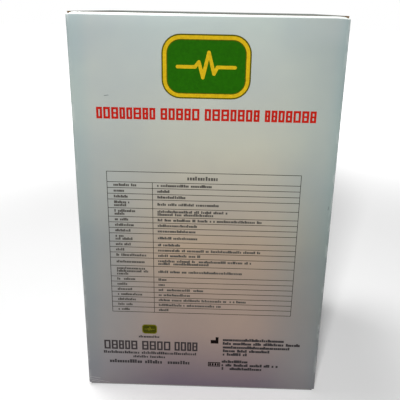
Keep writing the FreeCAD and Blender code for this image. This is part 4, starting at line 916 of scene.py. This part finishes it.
def racetrack():
    """A racetrack outline: each point's X on the middle line, its outward angle and its share of a turn.

    The share is 0 at the wrap's outer end, on the front straight, and runs once round.
    """
    bend = np.linspace(0, math.pi, 30)
    front = np.linspace(STRAIGHT_HALF, -STRAIGHT_HALF, 27)[1:-1]
    flat = np.ones(len(front))
    middle = np.concatenate([np.full(len(bend), STRAIGHT_HALF), front,
                             np.full(len(bend), -STRAIGHT_HALF), -front])
    angle = np.concatenate([bend - math.pi / 2, flat * math.pi / 2, bend + math.pi / 2,
                            flat * 1.5 * math.pi])
    share = np.roll(np.linspace(0, 1, len(angle)), OUTER_END)
    return middle, angle, share


def cloth_piece(name, points, finish):
    """A closed surface of cloth, its rows of points joined round both ways."""
    faces = grid_faces(*points.shape[:2], wrap_rows=True, wrap_columns=True)
    made = piece(name, points.reshape(-1, 3), faces, finish, "carton", "cuff_fabric", smooth=True)
    recalculated(made)
    return made


def rolled_cuff(finish):
    """The rolled wrap: its layers' section carried round a racetrack outline.

    The section runs up the outside, which swells by sin(pi v) between its bound hems, in over the
    layers' ends, which dip by |sin(n pi s)| between n layers, down the open core, and back out
    below. Round the turn the outside grows by one layer, and steps back at the wrap's outer end.
    Soft dents of sin(a z + 3 cos t) sin(b x + 2 t) lie between the hems.
    """
    low, high = (np.array(corner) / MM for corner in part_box("cuff_wrap"))
    centre = low[:2] + ROLL_MIDDLE
    v = np.concatenate([[0, 0.02, 0.048, 0.056], np.linspace(0.08, 0.92, 30), [0.944, 0.952, 0.98, 1]])
    s = np.linspace(0, 1, 41)[1:-1]
    off_middle = np.abs(v - 0.5)
    hem = np.where(off_middle > HEM_START, HEM_RISE, 0.0)
    swell = ROLL_RADIUS - 0.05 + SWELL * np.sin(math.pi * v) ** 0.5 + hem
    dip = DIP * np.abs(np.sin(LAYERS * math.pi * s))
    depth = ROLL_RADIUS - CORE_RADIUS
    core = np.full(8, CORE_RADIUS)
    radius = np.concatenate([swell, ROLL_RADIUS - depth * s, core, CORE_RADIUS + depth * s])
    level = np.concatenate([low[2] + 0.4 + (high[2] - low[2] - 0.8) * v, high[2] - 1.4 + dip,
                            np.linspace(high[2] - 1.5, low[2] + 1.5, len(core)), low[2] + 1.4 - dip])
    inside = np.zeros(len(level) - len(v))
    outer = np.concatenate([np.ones(len(v)), inside])
    between_hems = np.concatenate([np.clip(1 - (2 * off_middle) ** 6, 0, 1), inside])
    middle, angle, share = racetrack()
    dents = np.sin(level[:, None] / 8.5 + 3 * np.cos(angle)) * np.sin(middle / 7.0 + 2 * angle)
    reach = radius[:, None] + outer[:, None] * LAYER_STEP * share + DENT * between_hems[:, None] * dents
    points = grid_points(centre[0] + middle + reach * np.cos(angle), centre[1] + reach * np.sin(angle),
                         level[:, None])
    made = cloth_piece("cuff_roll", points, finish)
    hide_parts("cuff_wrap")
    return low, high


def ring_sleeve(finish, low, high):
    """The hemmed sleeve round the ring's bar: a circle carried up, in by |sin(n pi v)|^6 at n pinches."""
    v = np.linspace(0, 1, 49)
    radius = SLEEVE_RADIUS - PINCH * np.abs(np.sin(PINCHES * math.pi * v)) ** 6
    radius[[0, -1]] = SLEEVE_BORE + 0.05
    radius = np.concatenate([radius, [SLEEVE_BORE, SLEEVE_BORE]])[:, None]
    level = low[2] + 12.0 + (high[2] - low[2] - 24.0) * v
    level = np.concatenate([level, level[[-1, 0]]])[:, None]
    angle = np.linspace(0, 2 * math.pi, 24, endpoint=False)
    middle = (low[1] + high[1]) / 2
    points = grid_points(SLEEVE_X + radius * np.cos(angle), middle + radius * np.sin(angle), level)
    made = cloth_piece("ring_sleeve", points, finish)


def recalculated(made):
    """Turns a closed piece's faces outward."""
    mesh = bmesh.new()
    mesh.from_mesh(made.data)
    bmesh.ops.recalc_face_normals(mesh, faces=mesh.faces)
    mesh.to_mesh(made.data)
    mesh.free()


# ---- The room and the view ----
FLOOR_REACH = 6.0
FLOOR_LIFT = 0.1
ROOM_LIGHT = 0.1
PICTURE = 400
SENSOR = 36.0
FOCAL_PIXELS = 529.8
VIEW_CENTRE = (207.03, 190.46)
VIEW_PLACE = (6.604, -317.176, 215.241)
VIEW_PITCH = 18.960
VIEW_YAW = 1.143
VIEW_ROLL = 1.060


def seen_white(graph):
    """1 for a ray from the camera, off a gloss or through a clear piece, and 0 for other rays."""
    path = graph.node("ShaderNodeLightPath").outputs
    seen = graph.math("MAXIMUM", path["Is Camera Ray"], path["Is Glossy Ray"])
    return graph.math("MAXIMUM", seen, path["Is Transmission Ray"])


def floor():
    """A wide white floor that keeps the carton's shadow."""
    finish = Finish("floor_white", Roughness=0.9, Specular_IOR_Level=0.1, Emission_Color=(1, 1, 1, 1))
    away = finish.node("ShaderNodeVectorMath", {0: finish.place}, operation="LENGTH").outputs["Value"]
    lift = finish.blend_numbers(finish.step(away, 0.25, 0.8), FLOOR_LIFT, 1.0)
    finish.feed(finish.shader.inputs["Emission Strength"], finish.times(seen_white(finish), lift))
    corners = [(x * FLOOR_REACH, y * FLOOR_REACH, 0) for x, y in ((-1, -1), (1, -1), (1, 1), (-1, 1))]
    made = mesh_object("floor", corners, [(0, 1, 2, 3)], finish.colour(srgb(252, 252, 252)))


def room():
    """A plain world: white where it is seen, and a soft even light elsewhere."""
    world = bpy.data.worlds.new("room")
    bpy.context.scene.world = world
    world.use_nodes = True
    graph = Graph(world.node_tree)
    backdrop = graph.tree.nodes["Background"].inputs
    graph.feed(backdrop["Color"], (1, 1, 1, 1))
    graph.feed(backdrop["Strength"], graph.blend_numbers(seen_white(graph), ROOM_LIGHT, 1.0))


def placed(name, data, place, rows):
    """A lamp or a camera at a place, its X, Y and Z axes as rows."""
    made = bpy.data.objects.new(name, data)
    made.rotation_mode = "QUATERNION"
    made.rotation_quaternion = Matrix(rows.tolist()).transposed().to_quaternion()
    made.location = place
    bpy.context.scene.collection.objects.link(made)
    return made


def soft_lamp(name, place, aim, size, power):
    """A square studio lamp that looks from place to aim."""
    data = bpy.data.lights.new(name, "AREA")
    data.size = size
    data.energy = power
    back = np.array(place) - np.array(aim)
    back /= np.linalg.norm(back)
    side = np.cross((0, 0, 1), back)
    side /= np.linalg.norm(side)
    placed(name, data, place, np.array([side, np.cross(back, side), back]))


def turn(axis, degrees):
    """A rotation about one of the axes of a view whose x is right, y is down and z is ahead."""
    return np.array(Matrix.Rotation(math.radians(degrees), 3, axis))


def camera():
    """The view: a little above the carton's top edge, tipped down at the spec panel."""
    data = bpy.data.cameras.new("view")
    data.sensor_width = SENSOR
    data.lens = SENSOR * FOCAL_PIXELS / PICTURE
    data.shift_x = (PICTURE / 2 - VIEW_CENTRE[0]) / PICTURE
    data.shift_y = (VIEW_CENTRE[1] - PICTURE / 2) / PICTURE
    data.clip_start = 0.01
    view = turn("Z", VIEW_ROLL) @ turn("X", VIEW_PITCH) @ turn("Y", VIEW_YAW)
    to_view = np.array([[1, 0, 0], [0, 0, -1], [0, 1, 0]])
    place = [value * MM for value in VIEW_PLACE]
    bpy.context.scene.camera = placed("view", data, place, np.diag([1, -1, -1]) @ view @ to_view)


# ---- The object ----

def dress_carton():
    """Every board piece's finish, by the way that its print faces."""
    spec_panel(board_finish("spec_panel_board", (0, -1, 0), (0, 0, 1), change=glinting_crease,
                            tone_of=silver_with_painted_reflection))
    dress(board_finish("front_panel_board", (0, 1, 0)), "front_panel")
    dress(board_finish("left_panel_board", (-1, 0, 0), (0, 0, 1)), "left_side_panel")
    right_wall(board_finish("right_panel_board", (1, 0, 0), (0, 0, 1)))
    dress(board_finish("glue_flap_board", (1, 0, 0)), "glue_flap")
    dress(board_finish("lid_board", (0, 0, 1), (0, 1, 0), shine=0.0, gloss=0.0, change=shaded_lid),
          "top_lid")
    dress(board_finish("tuck_board", (0, 1, 0)), "tuck_flap")
    dress(board_finish("dust_board", (0, 0, 1)), "left_dust_flap", "right_dust_flap")
    dress(board_finish("base_board", (0, 0, -1), (0, -1, 0)), "outer_base_flap", "inner_base_flap",
          "left_base_flap", "right_base_flap")
    dress(plain_board("platform_board"), "inner_platform")


def dress_monitor():
    """The monitor's shells, buttons, display and inner parts."""
    dress(plastic("white_shell", (222, 224, 227), 0.38), "top_case")
    dress(plastic("grey_shell", (176, 181, 187), 0.45), "bottom_case", "battery_cover")
    dress(plastic("start_plastic", (56, 110, 178), 0.32, coat=0.2), "start_button")
    dress(plastic("key_plastic", (150, 158, 168), 0.36, coat=0.1), "memory_button", "set_button")
    dress(clear_window("window_clear"), "lens_window")
    dress(display_finish("display_glass"), "lcd_panel")
    dress(plastic("holder_white", (236, 236, 232), 0.5), "lcd_holder")
    dress(rubbery("zebra_rubber", (178, 178, 182), 900, 0.02), "zebra_strips")
    dress(circuit_finish("circuit_green"), "main_board")
    dress(plastic("switch_black", (38, 38, 40), 0.4), "switch_bodies", "buzzer", "pressure_sensor",
          "start_plunger", "memory_plunger", "set_plunger")
    dress(metal("screw_steel", (176, 178, 182), 0.3), "case_screws", "board_screws")
    steel = metal("spring_steel", (196, 198, 202), 0.24)
    dress(steel, "contact_plates", "d_ring")
    cell_springs(steel)
    dress(cell_finish("cell_jacket"), "aa_cells")
    dress(metal("motor_steel", (170, 171, 174), 0.34, (1.0, 12.0, 1.0)), "pump_motor", "exhaust_valve")
    dress(plastic("pump_black", (52, 53, 56), 0.5), "pump_head", "air_manifold")
    dress(rubbery("cradle_foam", (48, 48, 51), 700, 0.2), "pump_cushion")
    dress(rubbery("clear_tube", (222, 224, 224), 300, 0.01), "pump_air_tube", "sensor_air_tube")
    dress(rubbery("dark_rubber", (42, 42, 45)), "rubber_feet", "air_socket")


def dress_bay():
    """The cuff and the papers that stand below the platform."""
    weave = weave_finish("cuff_weave", (38, 52, 88), (66, 84, 126))
    ring_sleeve(weave, *rolled_cuff(weave))
    dress(rubbery("bladder_film", (86, 88, 94), 400, 0.03), "cuff_bladder")
    dress(plastic("port_plastic", (212, 214, 216), 0.35), "cuff_port")
    dress(hook_finish("hook_tape"), "hook_patch")
    dress(paper_finish("manual_paper", *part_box("user_manual"), (62, 112, 160)), "user_manual")
    dress(paper_finish("card_paper", *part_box("warranty_card"), (120, 152, 92)), "warranty_card")


def print_monitor():
    """The marks on the monitor: display numbers, window border and button icons."""
    display_print(ink_finish("display_ink", 44, 50, 44))
    window_border(ink_finish("border_ink", 58, 66, 78))
    button_icons(ink_finish("icon_ink", 244, 246, 248))


def build():
    """The whole scene."""
    dress_carton()
    dress_monitor()
    dress_bay()
    print_panel()
    print_monitor()
    floor()
    room()
    soft_lamp("back_lamp", (-0.34, 0.15, 1.28), (0, 0, 0.05), 0.4, 7.1)
    soft_lamp("front_lamp", (-0.34, -1.6, 1.1), (0, 0, 0.1), 0.3, 27.9)
    camera()
    bpy.context.scene.view_settings.view_transform = "Standard"


build()
